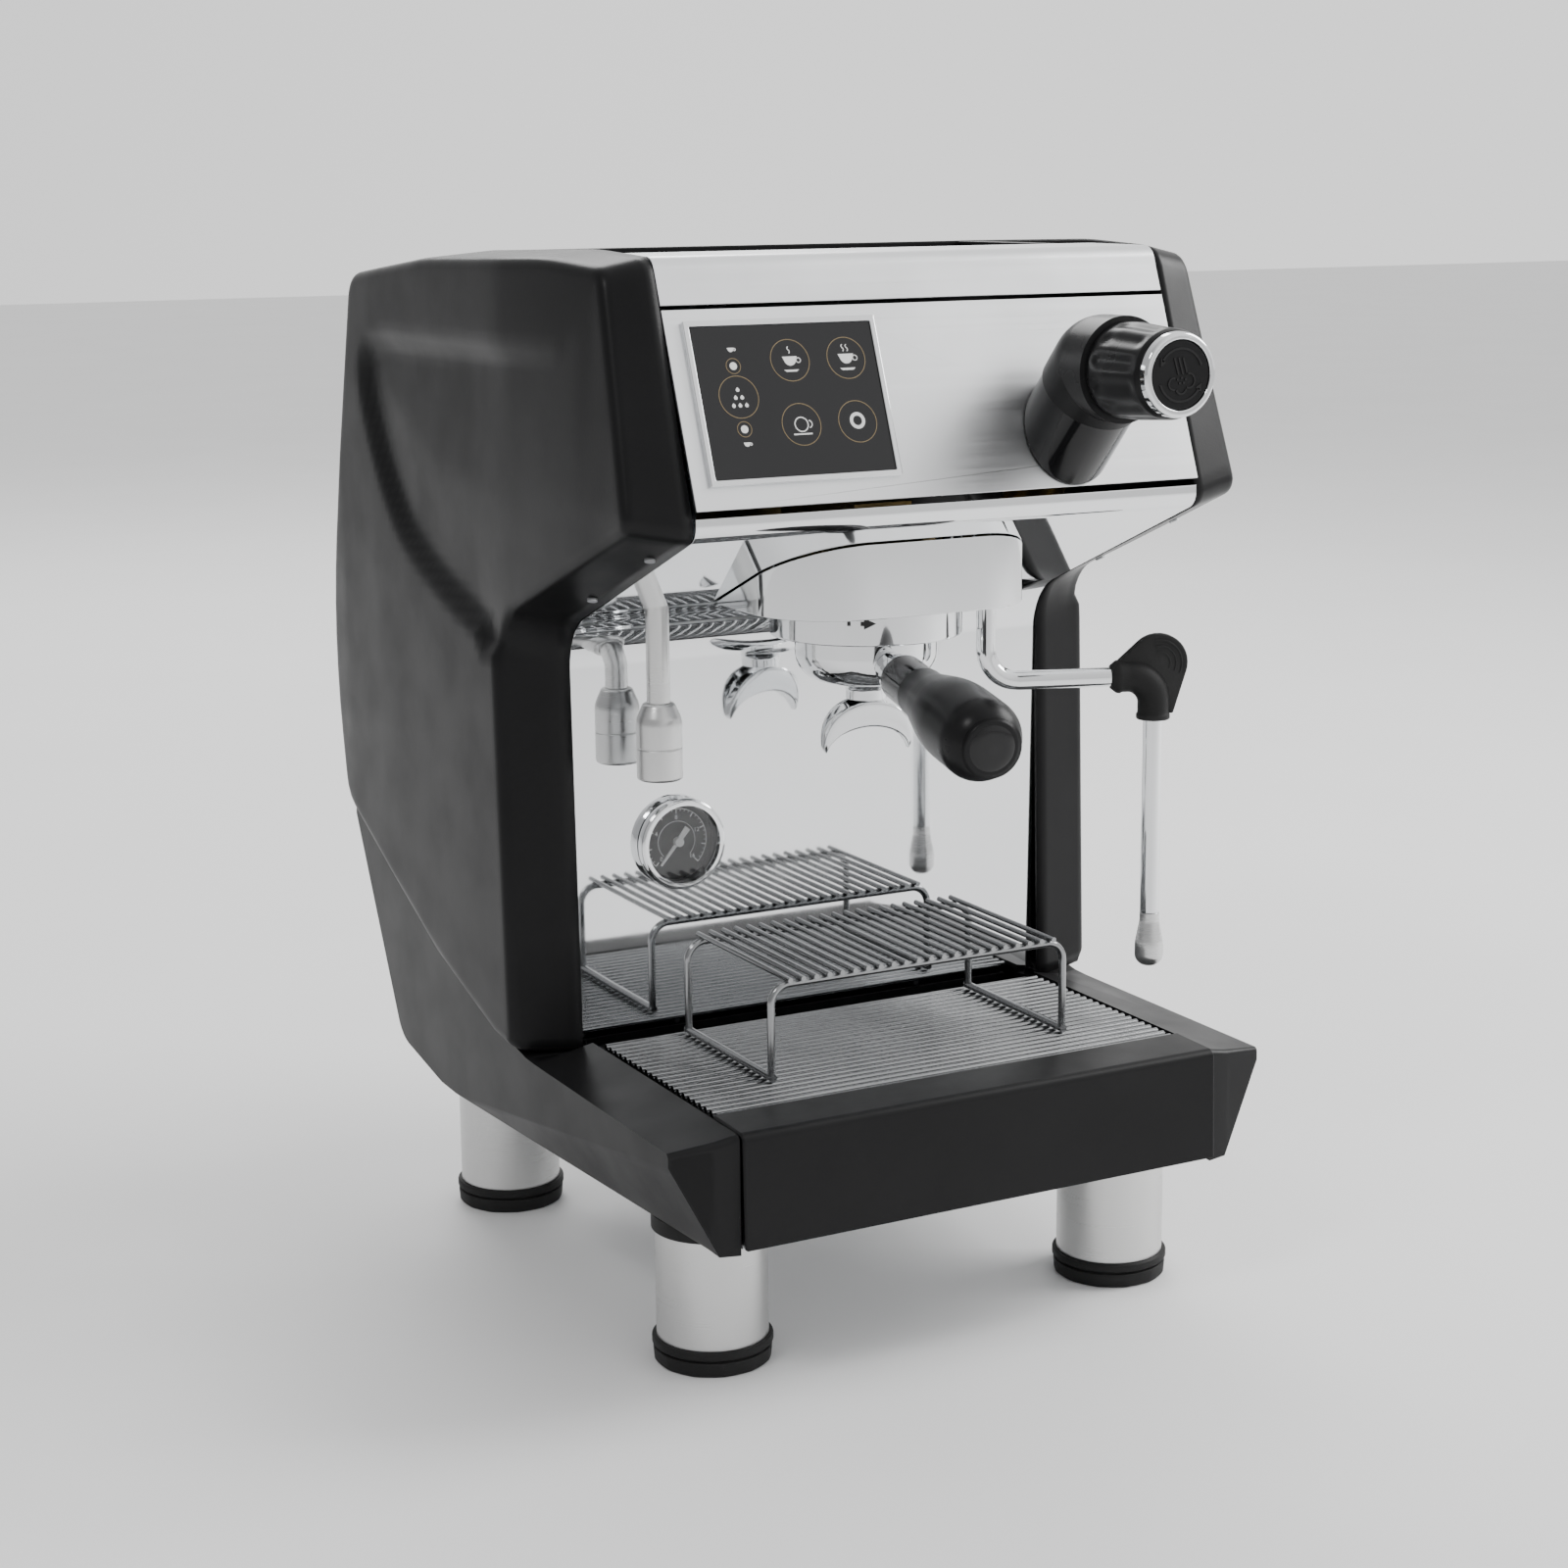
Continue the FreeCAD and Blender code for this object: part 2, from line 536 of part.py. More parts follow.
# ---------------------------------------------------------------- group
def cover_block(less, low_z, high_z):
    """Block with two large round front corners, all sides moved in by the wall."""
    parts = [span((f"-cover_half + {less}", "cover_front + cover_round", low_z),
                  (f"cover_half - {less}", f"splash_y - {less} - 1", high_z)),
             span(("-cover_half + cover_round", f"cover_front + {less}", low_z),
                  ("cover_half - cover_round", "cover_front + cover_round + 1", high_z))]
    for side in ("-(cover_half - cover_round)", "cover_half - cover_round"):
        parts.append(rod(f"cover_round - {less}", f"({high_z}) - ({low_z})",
                         (side, "cover_front + cover_round", low_z)))
    return fuse(parts)


UNDERSIDE = [(-12.4, 300), (-12.4, 318.7, 27.6), (-138.2, 370.2)]
head_room = prism("YZ_Plane", UNDERSIDE + [(-138.2, 430), (-5, 430), (-5, 300)], "200")
cover = cut(cover_block("0", "cover_rim", "395"),
            [cover_block("cover_wall", "cover_rim + 3", "420"),
             rod("collar_outer + 1.5", "10", ("0", "group_y", "cover_rim - 1")),
             rod("steam_radius + 3.4", "10", ("steam_x", "steam_y", "cover_rim - 1")),
             head_room])
node(cover, "group_cover")

GROUP = [(4, 325.5), ("group_radius", 325.5), ("group_radius", 352), (30, 362), (4, 362)]
node(turned(GROUP, ("0", "group_y", "0")), "group_body")
COLLAR = [("collar_lip", "collar_low"), ("collar_outer", "collar_low", 1),
          ("collar_outer", "collar_high"), (36.1, "collar_high"), (36.1, 318.4),
          ("collar_lip", 318.4)]
slots = []
for turn_by in (-38, 142):
    slot = box(("12", "26", "8"), ("0", "group_y", "311"), Rotation(Vector(0, 0, 1), turn_by))
    slots.append(slot)
    angle = math.radians(turn_by)
    bind(slot, "Placement.Base.x", f"{25 * math.cos(angle) + 13 * math.sin(angle):.4f}")
    bind(slot, "Placement.Base.y",
         f"group_y + {25 * math.sin(angle) - 13 * math.cos(angle):.4f}")
node(cut(turned(COLLAR, ("0", "group_y", "0")), slots), "group_collar")
GASKET = [(28.2, 321.6), (33, 321.6), (33, 325.4), (28.2, 325.4)]
node(turned(GASKET, ("0", "group_y", "0")), "group_gasket")
SCREEN = [(3, 322.4), (25, 322.4), (28, 325.4), (3, 325.4)]
node(turned(SCREEN, ("0", "group_y", "0")), "shower_screen")
SCREW = [(0, 321.2), (5, 321.2), (5, 322.3), (2.9, 322.3), (2.9, 332), (0, 332)]
node(turned(SCREW, ("0", "group_y", "0")), "screen_screw")

# ---------------------------------------------------------------- portafilter
BOWL = [(33, 320.2), (33, 296, 14), (9.5, 290, 3), (9.5, 284.2), (6, 284.2), (6, 293.4),
        (27.4, 298.6, 8), (27.4, 320.2)]
ears = []
for turn_by in (10, 190):
    angle = math.radians(turn_by)
    ear = box(("9", "20", "3"), ("0", "group_y", "318.7"), Rotation(Vector(0, 0, 1), turn_by))
    bind(ear, "Placement.Base.x", f"{26 * math.cos(angle) + 10 * math.sin(angle):.4f}")
    bind(ear, "Placement.Base.y",
         f"group_y + {26 * math.sin(angle) - 10 * math.cos(angle):.4f}")
    ears.append(ear)
ear_limit = cut(rod("35.6", "10", ("0", "group_y", "314")),
                [rod("30", "12", ("0", "group_y", "313"))])
ear_ring = doc.addObject("Part::Common", "Ears")
ear_ring.Base = fuse(ears)
ear_ring.Tool = ear_limit
bowl = cut(fuse([turned(BOWL, ("0", "group_y", "0")), ear_ring]),
           [rod("40", "5", ("0", "group_y", "320.2"))])
node(bowl, "portafilter_body")
BASKET = [(27.2, 320.4), (30, 320.4), (30, 321.1), (26, 321.1), (26, 300.5, 5), (0, 300.5),
          (0, 299.5), (27, 299.5, 6)]
node(turned(BASKET, ("0", "group_y", "0")), "filter_basket")

SWING = Rotation(Vector(0, 0, 1), -DIMS["handle_swing"])
HANDLE_DIR = SWING.multVec(Vector(0, -math.cos(math.radians(DIMS["handle_dip"])),
                                  -math.sin(math.radians(DIMS["handle_dip"]))))
ALONG_HANDLE = Rotation(Vector(0, 0, 1), HANDLE_DIR)
SPOUT = [(-21.5, 259), (-20, 284, 19), (20, 284, 19), (21.5, 259), (16, 259), (14, 271.8, 11.5),
         (-14, 271.8, 11.5), (-16, 259)]
SPOUT_ROOM = [(-20, 258), (-18.5, 282.3, 17.5), (18.5, 282.3, 17.5), (20, 258), (17.5, 258),
              (15.4, 273.4, 13), (-15.4, 273.4, 13), (-17.5, 258)]
spout = prism("XZ_Plane", SPOUT, "spout_depth", ("0", "group_y", "0"), SWING)
spout_room = prism("XZ_Plane", SPOUT_ROOM, "spout_depth - 4", ("0", "group_y", "0"), SWING)
spout_inlet = rod("5", "12", ("0", "group_y", "276"))
node(cut(spout, [spout_room, spout_inlet]), "portafilter_spout")
FERRULE = [(0, 33.2), (7.4, 33.2), (7.8, 40), (9.4, 43), (9.4, 49), (0, 49)]
ferrule = cut(turned(FERRULE, ("0", "group_y", "handle_z"), ALONG_HANDLE),
              [rod("33.1", "20", ("0", "group_y", "295"))])
node(ferrule, "handle_ferrule")
HANDLE = [(0, 49.1), (11, 49.1, 1.2), (11, 76, 80), (18.2, 116, 120), (18.2, 157.4, 16),
          (0, 157.4)]
node(turned(HANDLE, ("0", "group_y", "handle_z"), ALONG_HANDLE), "portafilter_handle")

# ---------------------------------------------------------------- hot water outlet
WATER_NUT = [(5.5, 335), (9, 335), (9, 344), (5.5, 344)]
node(turned(WATER_NUT, ("water_x", "water_y", "0")), "water_nut")
node(cut(rod("water_radius", "62", ("water_x", "water_y", "284")),
         [rod("tube_bore", "70", ("water_x", "water_y", "280"))]), "water_tube")
NOZZLE = [("tube_bore", 250), (10.7, 250, 1.5), (10.7, 278, 13), (7.4, 286, 2.4), (5.5, 286),
          (5.5, 283.8), ("tube_bore", 283.8)]
node(turned(NOZZLE, ("water_x", "water_y", "0")), "water_nozzle")

# ---------------------------------------------------------------- steam wand
STEAM_NUT = [(4.9, 336.4), (7.6, 336.4), (7.6, 360.6), (4.9, 360.6)]
node(turned(STEAM_NUT, ("steam_x", "steam_y", "0")), "steam_nut")
YAW = Rotation(Vector(0, 0, 1), DIMS["steam_yaw"])
arm_z, reach = DIMS["arm_z"], DIMS["arm_reach"]
ARM_AT = ("steam_x", "steam_y", "0")
ARM_PATH = [(0, 360), (0, arm_z), (reach - 21, arm_z)]
arm_bend = DIMS["arm_bend"]
node(cut(bent_rod("steam_radius", ARM_PATH, arm_bend, ARM_AT, YAW),
         [bent_rod("tube_bore", ARM_PATH, arm_bend, ARM_AT, YAW)]), "steam_tube")

# rubber grip: a sleeve round the elbow of the arm, with a drop-shaped fin in the plane of the bend
GRIP_PATH = [(reach, DIMS["grip_low"]), (reach, arm_z), (reach - 20.8, arm_z)]
GRIP_FIN = [(reach - 17.4, 299), (reach - 3.6, "fin_high", DIMS["fin_round"]),
            (reach + 21, "fin_high", DIMS["fin_round"]), (reach + 9, "fin_low"),
            (reach, "fin_low"), (reach - 17.4, arm_z)]
grip_round = DIMS["grip_round"]
sleeve = bent_rod("grip_radius", GRIP_PATH, grip_round, ARM_AT, YAW)
fin = prism("XZ_Plane", GRIP_FIN, "fin_gauge", ARM_AT, YAW)
node(cut(fuse([sleeve, fin]), [bent_rod("tube_bore", GRIP_PATH, grip_round, ARM_AT, YAW)]),
     "wand_grip")
yaw_angle = math.radians(DIMS["steam_yaw"])
WAND_AT = (f"steam_x + {reach * math.cos(yaw_angle):.4f}",
           f"steam_y + {reach * math.sin(yaw_angle):.4f}", "0")
WAND = [("tube_bore", "tip_high"), ("steam_radius", "tip_high"), ("steam_radius", "wand_high"),
        ("tube_bore", "wand_high")]
node(turned(WAND, WAND_AT), "steam_wand")
TIP = [(0.8, "tip_low"), (6.7, "tip_low", 5.4), (6.7, 163, 25), (4.6, 174), (4.6, 177.9),
       ("tube_bore", 177.9), ("tube_bore", 158), (0.8, 156)]
node(turned(TIP, WAND_AT), "wand_tip")

# ---------------------------------------------------------------- gauge
GAUGE_AT = ("gauge_x", "splash_y", "gauge_z")
CASE = [(0, -24), (19.8, -24), (19.8, 0.4), (21, 0.4), ("gauge_radius", 3, 6),
        ("gauge_radius", 7.5, 1.9), (18.6, 7.5), (18.6, -2.9), (0, -2.9)]
node(turned(CASE, GAUGE_AT, TO_FRONT), "gauge_case")
node(turned([(0, -2.8), (18.4, -2.8), (18.4, -1.9), (0, -1.9)], GAUGE_AT, TO_FRONT), "gauge_dial")
node(turned([(0, 4.1), (18.5, 4.1), (18.5, 5.3), (0, 5.3)], GAUGE_AT, TO_FRONT), "gauge_lens")
NEEDLE = [(-0.5, -14), (0.5, -14), (1, 0), (1.3, 2), (1.5, 8), (-1.5, 8), (-1.3, 2), (-1, 0)]
needle_turn = Rotation(Vector(0, 1, 0), 40)
needle_bar = prism("XZ_Plane", NEEDLE, "0.8", ("gauge_x", "splash_y + 0.3", "gauge_z"), needle_turn)
needle_hub = rod("2.2", "3.4", ("gauge_x", "splash_y + 1.5", "gauge_z"), TO_FRONT)
node(fuse([needle_bar, needle_hub]), "gauge_needle")

# ---------------------------------------------------------------- inside
tank_block = span(("-tank_half", "tank_front", "tank_low"),
                  ("tank_half", "tank_back", "tank_high"))
tank_room = span(("-tank_half + tank_wall", "tank_front + tank_wall", "tank_low + tank_wall"),
                 ("tank_half - tank_wall", "tank_back - tank_wall", "tank_high + 1"))
node(cut(tank_block, [tank_room]), "water_tank")
lid_plate = span(("-tank_half - 8", "tank_front - 6", "lid_low"),
                 ("tank_half + 8", "tank_back + 6", "lid_high"))
lid_grip = span(("-30", "tank_back - 18", "lid_high - 1.8"), ("30", "tank_back - 6", "lid_high + 2"))
node(cut(lid_plate, [lid_grip]), "tank_lid")
tank_shelf = span(("-sheet_half", "tank_front - 2", "tank_low - 0.4 - shelf_gauge"),
                  ("sheet_half", "rear_y", "tank_low - 0.4"))
node(tank_shelf, "tank_shelf")

boiler_shell = cut(rod("boiler_radius", "boiler_high - boiler_low", ("0", "boiler_y", "boiler_low")),
                   [rod("boiler_radius - 2", "boiler_high - boiler_low - 4",
                        ("0", "boiler_y", "boiler_low + 2"))])
neck = span(("-15", "group_y - 16", "362.1"), ("15", "boiler_y - boiler_radius + 2", "376"))
node(fuse([boiler_shell, neck]), "boiler")
HEATER = [(size_of(a), size_of(b)) for a, b in (
    ("heater_half", "heater_low"), ("heater_half", "heater_high"),
    ("-heater_half", "heater_high"), ("-heater_half", "heater_low"))]
node(bent_rod("heater_radius", HEATER, 11.5, ("0", "boiler_y", "0")), "heating_element")
pump_body = rod("pump_radius", "pump_length",
                ("pump_left", "pump_y", "pan_z + pan_gauge + pump_radius"), UP_X)
pump_outlet = rod("outlet_radius", "outlet_length",
                  ("pump_left + pump_length", "pump_y", "pan_z + pan_gauge + pump_radius"), UP_X)
node(fuse([pump_body, pump_outlet]), "pump")

# ---------------------------------------------------------------- rear sockets and screws
def inlet_block(less, back, front):
    """Block round the middle of the mains inlet, its flange size less a margin on all sides."""
    return span((f"inlet_x - inlet_half + {less}", f"rear_y + {back}",
                 f"socket_z - inlet_half_tall + {less}"),
                (f"inlet_x + inlet_half - ({less})", f"rear_y + {front}",
                 f"socket_z + inlet_half_tall - ({less})"))


inlet_shell = fuse([inlet_block("0", "1.6", "4"), inlet_block("4.4", "-inlet_depth", "4")])
inlet_room = inlet_block("4.4 + inlet_wall", "4 - inlet_depth", "5")
pins = [rod("pin_radius", "pin_length",
            (f"inlet_x + ({step}) * pin_step", "rear_y + 3.5 - inlet_depth", f"socket_z + {rise}"),
            TO_BACK)
        for step, rise in ((-1, -2), (0, 2), (1, -2))]
node(fuse([cut(inlet_shell, [inlet_room])] + pins), "power_inlet")
ROCKER = [(-9, -2), (-9, 3.2), (0, 4.4), (9, 5.6), (9, -2)]
rocker_cap = prism("XZ_Plane", ROCKER, "2 * rocker_half", ("rocker_x", "rear_y", "socket_z"), TO_BACK)
rocker_pivot = rod("pivot_radius", "2 * rocker_half",
                   ("rocker_x", "rear_y", "socket_z - rocker_half"))
node(fuse([rocker_cap, rocker_pivot]), "power_rocker")

# screw heads lie flat on the undersides of the side panels, which slope up and outwards
SLOPE_OUT, SLOPE_FORWARD = 0.25, 0.402
screws = []
for side, at_x in ((-1, "-screw_x"), (1, "screw_x")):
    skin_normal = Rotation(Vector(0, 0, 1), Vector(-side * SLOPE_OUT, SLOPE_FORWARD, 1))
    for at_y, at_z in (("-118", "362.6"), ("-58", "338.5")):
        screws.append(rod("screw_radius", "screw_head", (at_x, at_y, at_z), skin_normal))
node(group(screws), "panel_screws")

doc.recompute()

# ---------------------------------------------------------------- write the parts
faults = [o.Name for o in doc.Objects if "Invalid" in o.State or "Error" in o.State]
if faults:
    raise RuntimeError(f"objects with faults: {faults}")
os.makedirs("parts", exist_ok=True)
for thing in NODES:
    shape = thing.Shape
    if shape.isNull() or not shape.isValid() or not shape.Solids:
        raise RuntimeError(f"{thing.Label} has no valid solid")
    shape.exportStep(f"parts/{thing.Label}.step")
    bounds = shape.BoundBox
    print(f"{thing.Label:20s} solids {len(shape.Solids):2d} volume {shape.Volume:10.0f} "
          f"x {bounds.XMin:7.1f} {bounds.XMax:7.1f} y {bounds.YMin:7.1f} {bounds.YMax:7.1f} "
          f"z {bounds.ZMin:6.1f} {bounds.ZMax:6.1f}")
print(len(NODES), "parts")
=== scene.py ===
"""Looks of a one-group espresso machine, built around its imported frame.

Metres in Blender. Outlines of the moulded panels are written in millimetres.
+Z is up, -Y is the barista's side, +X is the side of the steam wand.
"""

import json
import math

import bmesh
import bpy
import numpy as np
from mathutils import Matrix, Vector
from mathutils.geometry import delaunay_2d_cdt


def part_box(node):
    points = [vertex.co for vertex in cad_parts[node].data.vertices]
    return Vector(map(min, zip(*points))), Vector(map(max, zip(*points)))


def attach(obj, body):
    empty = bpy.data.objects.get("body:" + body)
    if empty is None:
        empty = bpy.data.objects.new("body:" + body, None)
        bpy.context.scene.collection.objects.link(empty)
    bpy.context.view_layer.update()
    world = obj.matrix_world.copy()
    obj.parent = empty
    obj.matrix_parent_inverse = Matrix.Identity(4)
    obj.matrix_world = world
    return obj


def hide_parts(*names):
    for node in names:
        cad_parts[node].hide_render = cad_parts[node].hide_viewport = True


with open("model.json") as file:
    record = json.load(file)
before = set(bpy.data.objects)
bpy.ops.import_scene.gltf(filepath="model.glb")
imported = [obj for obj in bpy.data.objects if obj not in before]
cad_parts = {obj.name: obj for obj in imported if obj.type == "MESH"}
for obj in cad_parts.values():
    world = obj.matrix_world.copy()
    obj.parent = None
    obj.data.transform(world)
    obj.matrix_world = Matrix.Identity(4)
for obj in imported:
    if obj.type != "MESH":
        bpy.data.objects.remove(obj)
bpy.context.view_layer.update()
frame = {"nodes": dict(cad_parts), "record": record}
NODES = frame["nodes"]
RECORD = frame["record"]
SLOT_OF = {part["node"]: part["material_slot"] for part in RECORD["subparts"]}
MM = 0.001
TAU = 2 * math.pi
GROUP_CENTRE = Vector((0, -65, 0)) * MM


# ------------------------------------------------------------------ shader helpers
def add(tree, kind, inputs=None, **props):
    """New shader node; an input given as a socket is linked, any other value is set."""
    made = tree.nodes.new(kind)
    for key, value in props.items():
        setattr(made, key, value)
    for key, value in (inputs or {}).items():
        if isinstance(value, bpy.types.NodeSocket):
            tree.links.new(value, made.inputs[key])
        else:
            made.inputs[key].default_value = value
    return made


def start(name, **fixed):
    """Material with its tree, its surface shader and its object coordinates."""
    material = bpy.data.materials.new(name)
    material.use_nodes = True
    tree = material.node_tree
    surface = tree.nodes["Principled BSDF"]
    for key, value in fixed.items():
        surface.inputs[key.replace("_", " ")].default_value = value
    place = add(tree, "ShaderNodeTexCoord").outputs["Object"]
    return material, tree, surface, place


def noise(tree, place, scale, low, high, detail=4.0, stretch=(1, 1, 1)):
    """Noise over the object, brought into a range."""
    mapped = add(tree, "ShaderNodeMapping", {"Vector": place, "Scale": stretch})
    cloud = add(tree, "ShaderNodeTexNoise",
                {"Vector": mapped.outputs[0], "Scale": scale, "Detail": detail})
    return add(tree, "ShaderNodeMapRange",
               {"Value": cloud.outputs["Fac"], "From Min": 0.3, "From Max": 0.7,
                "To Min": low, "To Max": high}).outputs[0]


def tint(tree, factor, dark, light):
    """Colour between two, by a factor."""
    mix = add(tree, "ShaderNodeMix", {"Factor": factor}, data_type="RGBA")
    mix.inputs["A"].default_value = (*dark, 1)
    mix.inputs["B"].default_value = (*light, 1)
    return mix.outputs["Result"]


def bump(tree, surface, heights, strength, distance):
    made = add(tree, "ShaderNodeBump",
               {"Height": heights, "Strength": strength, "Distance": distance})
    tree.links.new(made.outputs[0], surface.inputs["Normal"])


PLASTIC_GLOSS = 0.16
EDGE_START = 0.505
EDGE_FULL = 0.6


def plastic(name, dark, light, rough, grain, relief, **fixed):
    """Moulded plastic: fine grain, cloudy gloss, convex edges a little lighter in colour."""
    material, tree, surface, place = start(name, **{"Specular_IOR_Level": PLASTIC_GLOSS, **fixed})
    # Convex edges, found by pointiness, are given a lighter colour.
    edges = add(tree, "ShaderNodeMapRange",
                {"Value": add(tree, "ShaderNodeNewGeometry").outputs["Pointiness"],
                 "From Min": EDGE_START, "From Max": EDGE_FULL, "To Min": 0.0, "To Max": 0.6})
    cloud = noise(tree, place, 14, 0.0, 0.4)
    total = add(tree, "ShaderNodeMath", {0: edges.outputs[0], 1: cloud}, operation="ADD",
                use_clamp=True)
    tree.links.new(tint(tree, total.outputs[0], dark, light), surface.inputs["Base Color"])
    tree.links.new(noise(tree, place, 30, *rough), surface.inputs["Roughness"])
    bump(tree, surface, noise(tree, place, grain, 0.0, 1.0, 2.0), relief, 0.0002)
    return material


def metal(name, dark, light, rough, stretch, scale, relief, **fixed):
    """Bare or plated metal: its marks run across the stretched directions."""
    material, tree, surface, place = start(name, Metallic=1.0, **fixed)
    marks = noise(tree, place, scale, 0.0, 1.0, 5.0, stretch)
    tree.links.new(tint(tree, noise(tree, place, 9, 0.0, 1.0), dark, light),
                   surface.inputs["Base Color"])
    smudge = noise(tree, place, 22, *rough)
    streak = add(tree, "ShaderNodeMath", {0: marks, 1: (rough[1] - rough[0]) * 0.8},
                 operation="MULTIPLY")
    total = add(tree, "ShaderNodeMath", {0: smudge, 1: streak.outputs[0]}, operation="ADD")
    tree.links.new(total.outputs[0], surface.inputs["Roughness"])
    bump(tree, surface, marks, relief, 0.00005)
    return material


def clear(name, colour, rough, transmission):
    """Clear or milky transparent plastic or glass with faint handling marks."""
    material, tree, surface, place = start(name, Transmission_Weight=transmission, IOR=1.47)
    tree.links.new(noise(tree, place, 35, *rough), surface.inputs["Roughness"])
    dim = tuple(0.93 * c for c in colour)
    tree.links.new(tint(tree, noise(tree, place, 12, 0, 1), dim, colour),
                   surface.inputs["Base Color"])
    bump(tree, surface, noise(tree, place, 160, 0, 1), 0.02, 0.0001)
    return material


def board_paint():
    """Green lacquer over a mesh of copper lines."""
    material, tree, surface, place = start("board", Coat_Weight=0.5)
    bricks = add(tree, "ShaderNodeTexBrick",
                 {"Vector": place, "Scale": 160, "Color1": (0.01, 0.09, 0.03, 1),
                  "Color2": (0.012, 0.11, 0.04, 1), "Mortar": (0.06, 0.2, 0.06, 1)})
    tree.links.new(bricks.outputs["Color"], surface.inputs["Base Color"])
    tree.links.new(noise(tree, place, 60, 0.25, 0.45), surface.inputs["Roughness"])
    bump(tree, surface, bricks.outputs["Fac"], 0.3, 0.0001)
    return material


EVEN = (1, 1, 1)
MATERIALS = {
    "black_abs": plastic("black_abs", (0.0045, 0.0045, 0.005), (0.012, 0.012, 0.0125),
                         (0.30, 0.40), 1400, 0.08),
    "fascia_black": plastic("fascia_black", (0.0045, 0.0045, 0.005), (0.011, 0.011, 0.0115),
                            (0.34, 0.44), 1400, 0.08),
    "black_gloss": plastic("black_gloss", (0.004, 0.004, 0.0045), (0.010, 0.010, 0.0105),
                           (0.10, 0.18), 500, 0.03, Coat_Weight=0.4, Coat_Roughness=0.08),
    "knob_black": plastic("knob_black", (0.006, 0.006, 0.0065), (0.016, 0.016, 0.0165),
                          (0.24, 0.34), 1100, 0.08),
    "handle_black": plastic("handle_black", (0.007, 0.007, 0.008), (0.016, 0.016, 0.017),
                            (0.13, 0.22), 600, 0.04, Coat_Weight=0.5, Coat_Roughness=0.07),
    "panel_black": plastic("panel_black", (0.003, 0.003, 0.004), (0.006, 0.006, 0.007),
                           (0.04, 0.08), 200, 0.01, Coat_Weight=0.6, Coat_Roughness=0.03),
    "rubber": plastic("rubber", (0.012, 0.012, 0.012), (0.028, 0.028, 0.028),
                      (0.5, 0.64), 900, 0.2),
    "seal_rubber": plastic("seal_rubber", (0.016, 0.016, 0.017), (0.03, 0.03, 0.03),
                           (0.55, 0.7), 700, 0.2),
    "dial": plastic("dial", (0.008, 0.008, 0.008), (0.013, 0.013, 0.013),
                    (0.35, 0.5), 2500, 0.05),
    "white_paint": plastic("white_paint", (0.74, 0.74, 0.73), (0.86, 0.86, 0.85),
                           (0.4, 0.5), 2500, 0.05),
    "ring_bronze": plastic("ring_bronze", (0.16, 0.12, 0.07), (0.24, 0.18, 0.1),
                           (0.35, 0.5), 2000, 0.05),
    "satin_black": plastic("satin_black", (0.006, 0.006, 0.0065), (0.014, 0.014, 0.0145),
                           (0.26, 0.34), 1200, 0.06),
    "satin_steel": metal("satin_steel", (0.80, 0.81, 0.82), (0.86, 0.87, 0.88),
                         (0.26, 0.34), (2, 300, 300), 3.0, 0.04),
    "mirror_steel": metal("mirror_steel", (0.80, 0.81, 0.82), (0.86, 0.87, 0.88),
                          (0.015, 0.045), EVEN, 90, 0.01),
    "chrome": metal("chrome", (0.76, 0.77, 0.78), (0.84, 0.85, 0.86),
                    (0.03, 0.07), EVEN, 240, 0.015),
    # The drip grid's chrome wires get a dark grey colour: painted shade that stands in for the dark
    # reflections on the wires.
    "wire_chrome": metal("wire_chrome", (0.24, 0.245, 0.25), (0.34, 0.345, 0.35),
                         (0.12, 0.20), EVEN, 700, 0.06),
    "brushed_steel": metal("brushed_steel", (0.58, 0.58, 0.58), (0.68, 0.68, 0.67),
                           (0.22, 0.32), (6, 6, 900), 3.0, 0.25, Anisotropic=0.5),
    "plain_steel": metal("plain_steel", (0.52, 0.53, 0.54), (0.62, 0.63, 0.64),
                         (0.26, 0.38), (300, 6, 300), 3.0, 0.15),
    "brass": metal("brass", (0.62, 0.44, 0.18), (0.76, 0.58, 0.27),
                   (0.22, 0.36), (4, 4, 500), 3.0, 0.2),
    "clear": clear("clear", (0.97, 0.98, 0.99), (0.01, 0.04), 1.0),
    "tank_plastic": clear("tank_plastic", (0.80, 0.86, 0.92), (0.18, 0.3), 0.75),
    "board": board_paint(),
}


# ------------------------------------------------------------------ mesh helpers
def piece(name, body, slot_name, verts, faces, smooth=True):
    """Mesh object on a body, with the finish of a material slot."""
    mesh = bpy.data.meshes.new(name)
    mesh.from_pydata([tuple(v) for v in verts], [], faces)
    mesh.validate()
    made = bpy.data.objects.new(name, mesh)
    bpy.context.scene.collection.objects.link(made)
    work = bmesh.new()
    work.from_mesh(mesh)
    bmesh.ops.remove_doubles(work, verts=work.verts, dist=1e-7)
    bmesh.ops.recalc_face_normals(work, faces=work.faces)
    work.to_mesh(mesh)
    work.free()
    for polygon in mesh.polygons:
        polygon.use_smooth = smooth
    mesh.materials.append(MATERIALS[slot_name])
    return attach(made, body)


def soften(thing, width, segments=3, angle=30):
    """Rounds hard edges and evens the shading of flat faces."""
    weld = thing.modifiers.new("Weld", "WELD")
    weld.merge_threshold = 1e-6
    bevel = thing.modifiers.new("Round", "BEVEL")
    bevel.width = width
    bevel.segments = segments
    bevel.limit_method = "ANGLE"
    bevel.angle_limit = math.radians(angle)
    bevel.miter_outer = "MITER_ARC"
    thing.modifiers.new("Shading", "WEIGHTED_NORMAL").keep_sharp = True


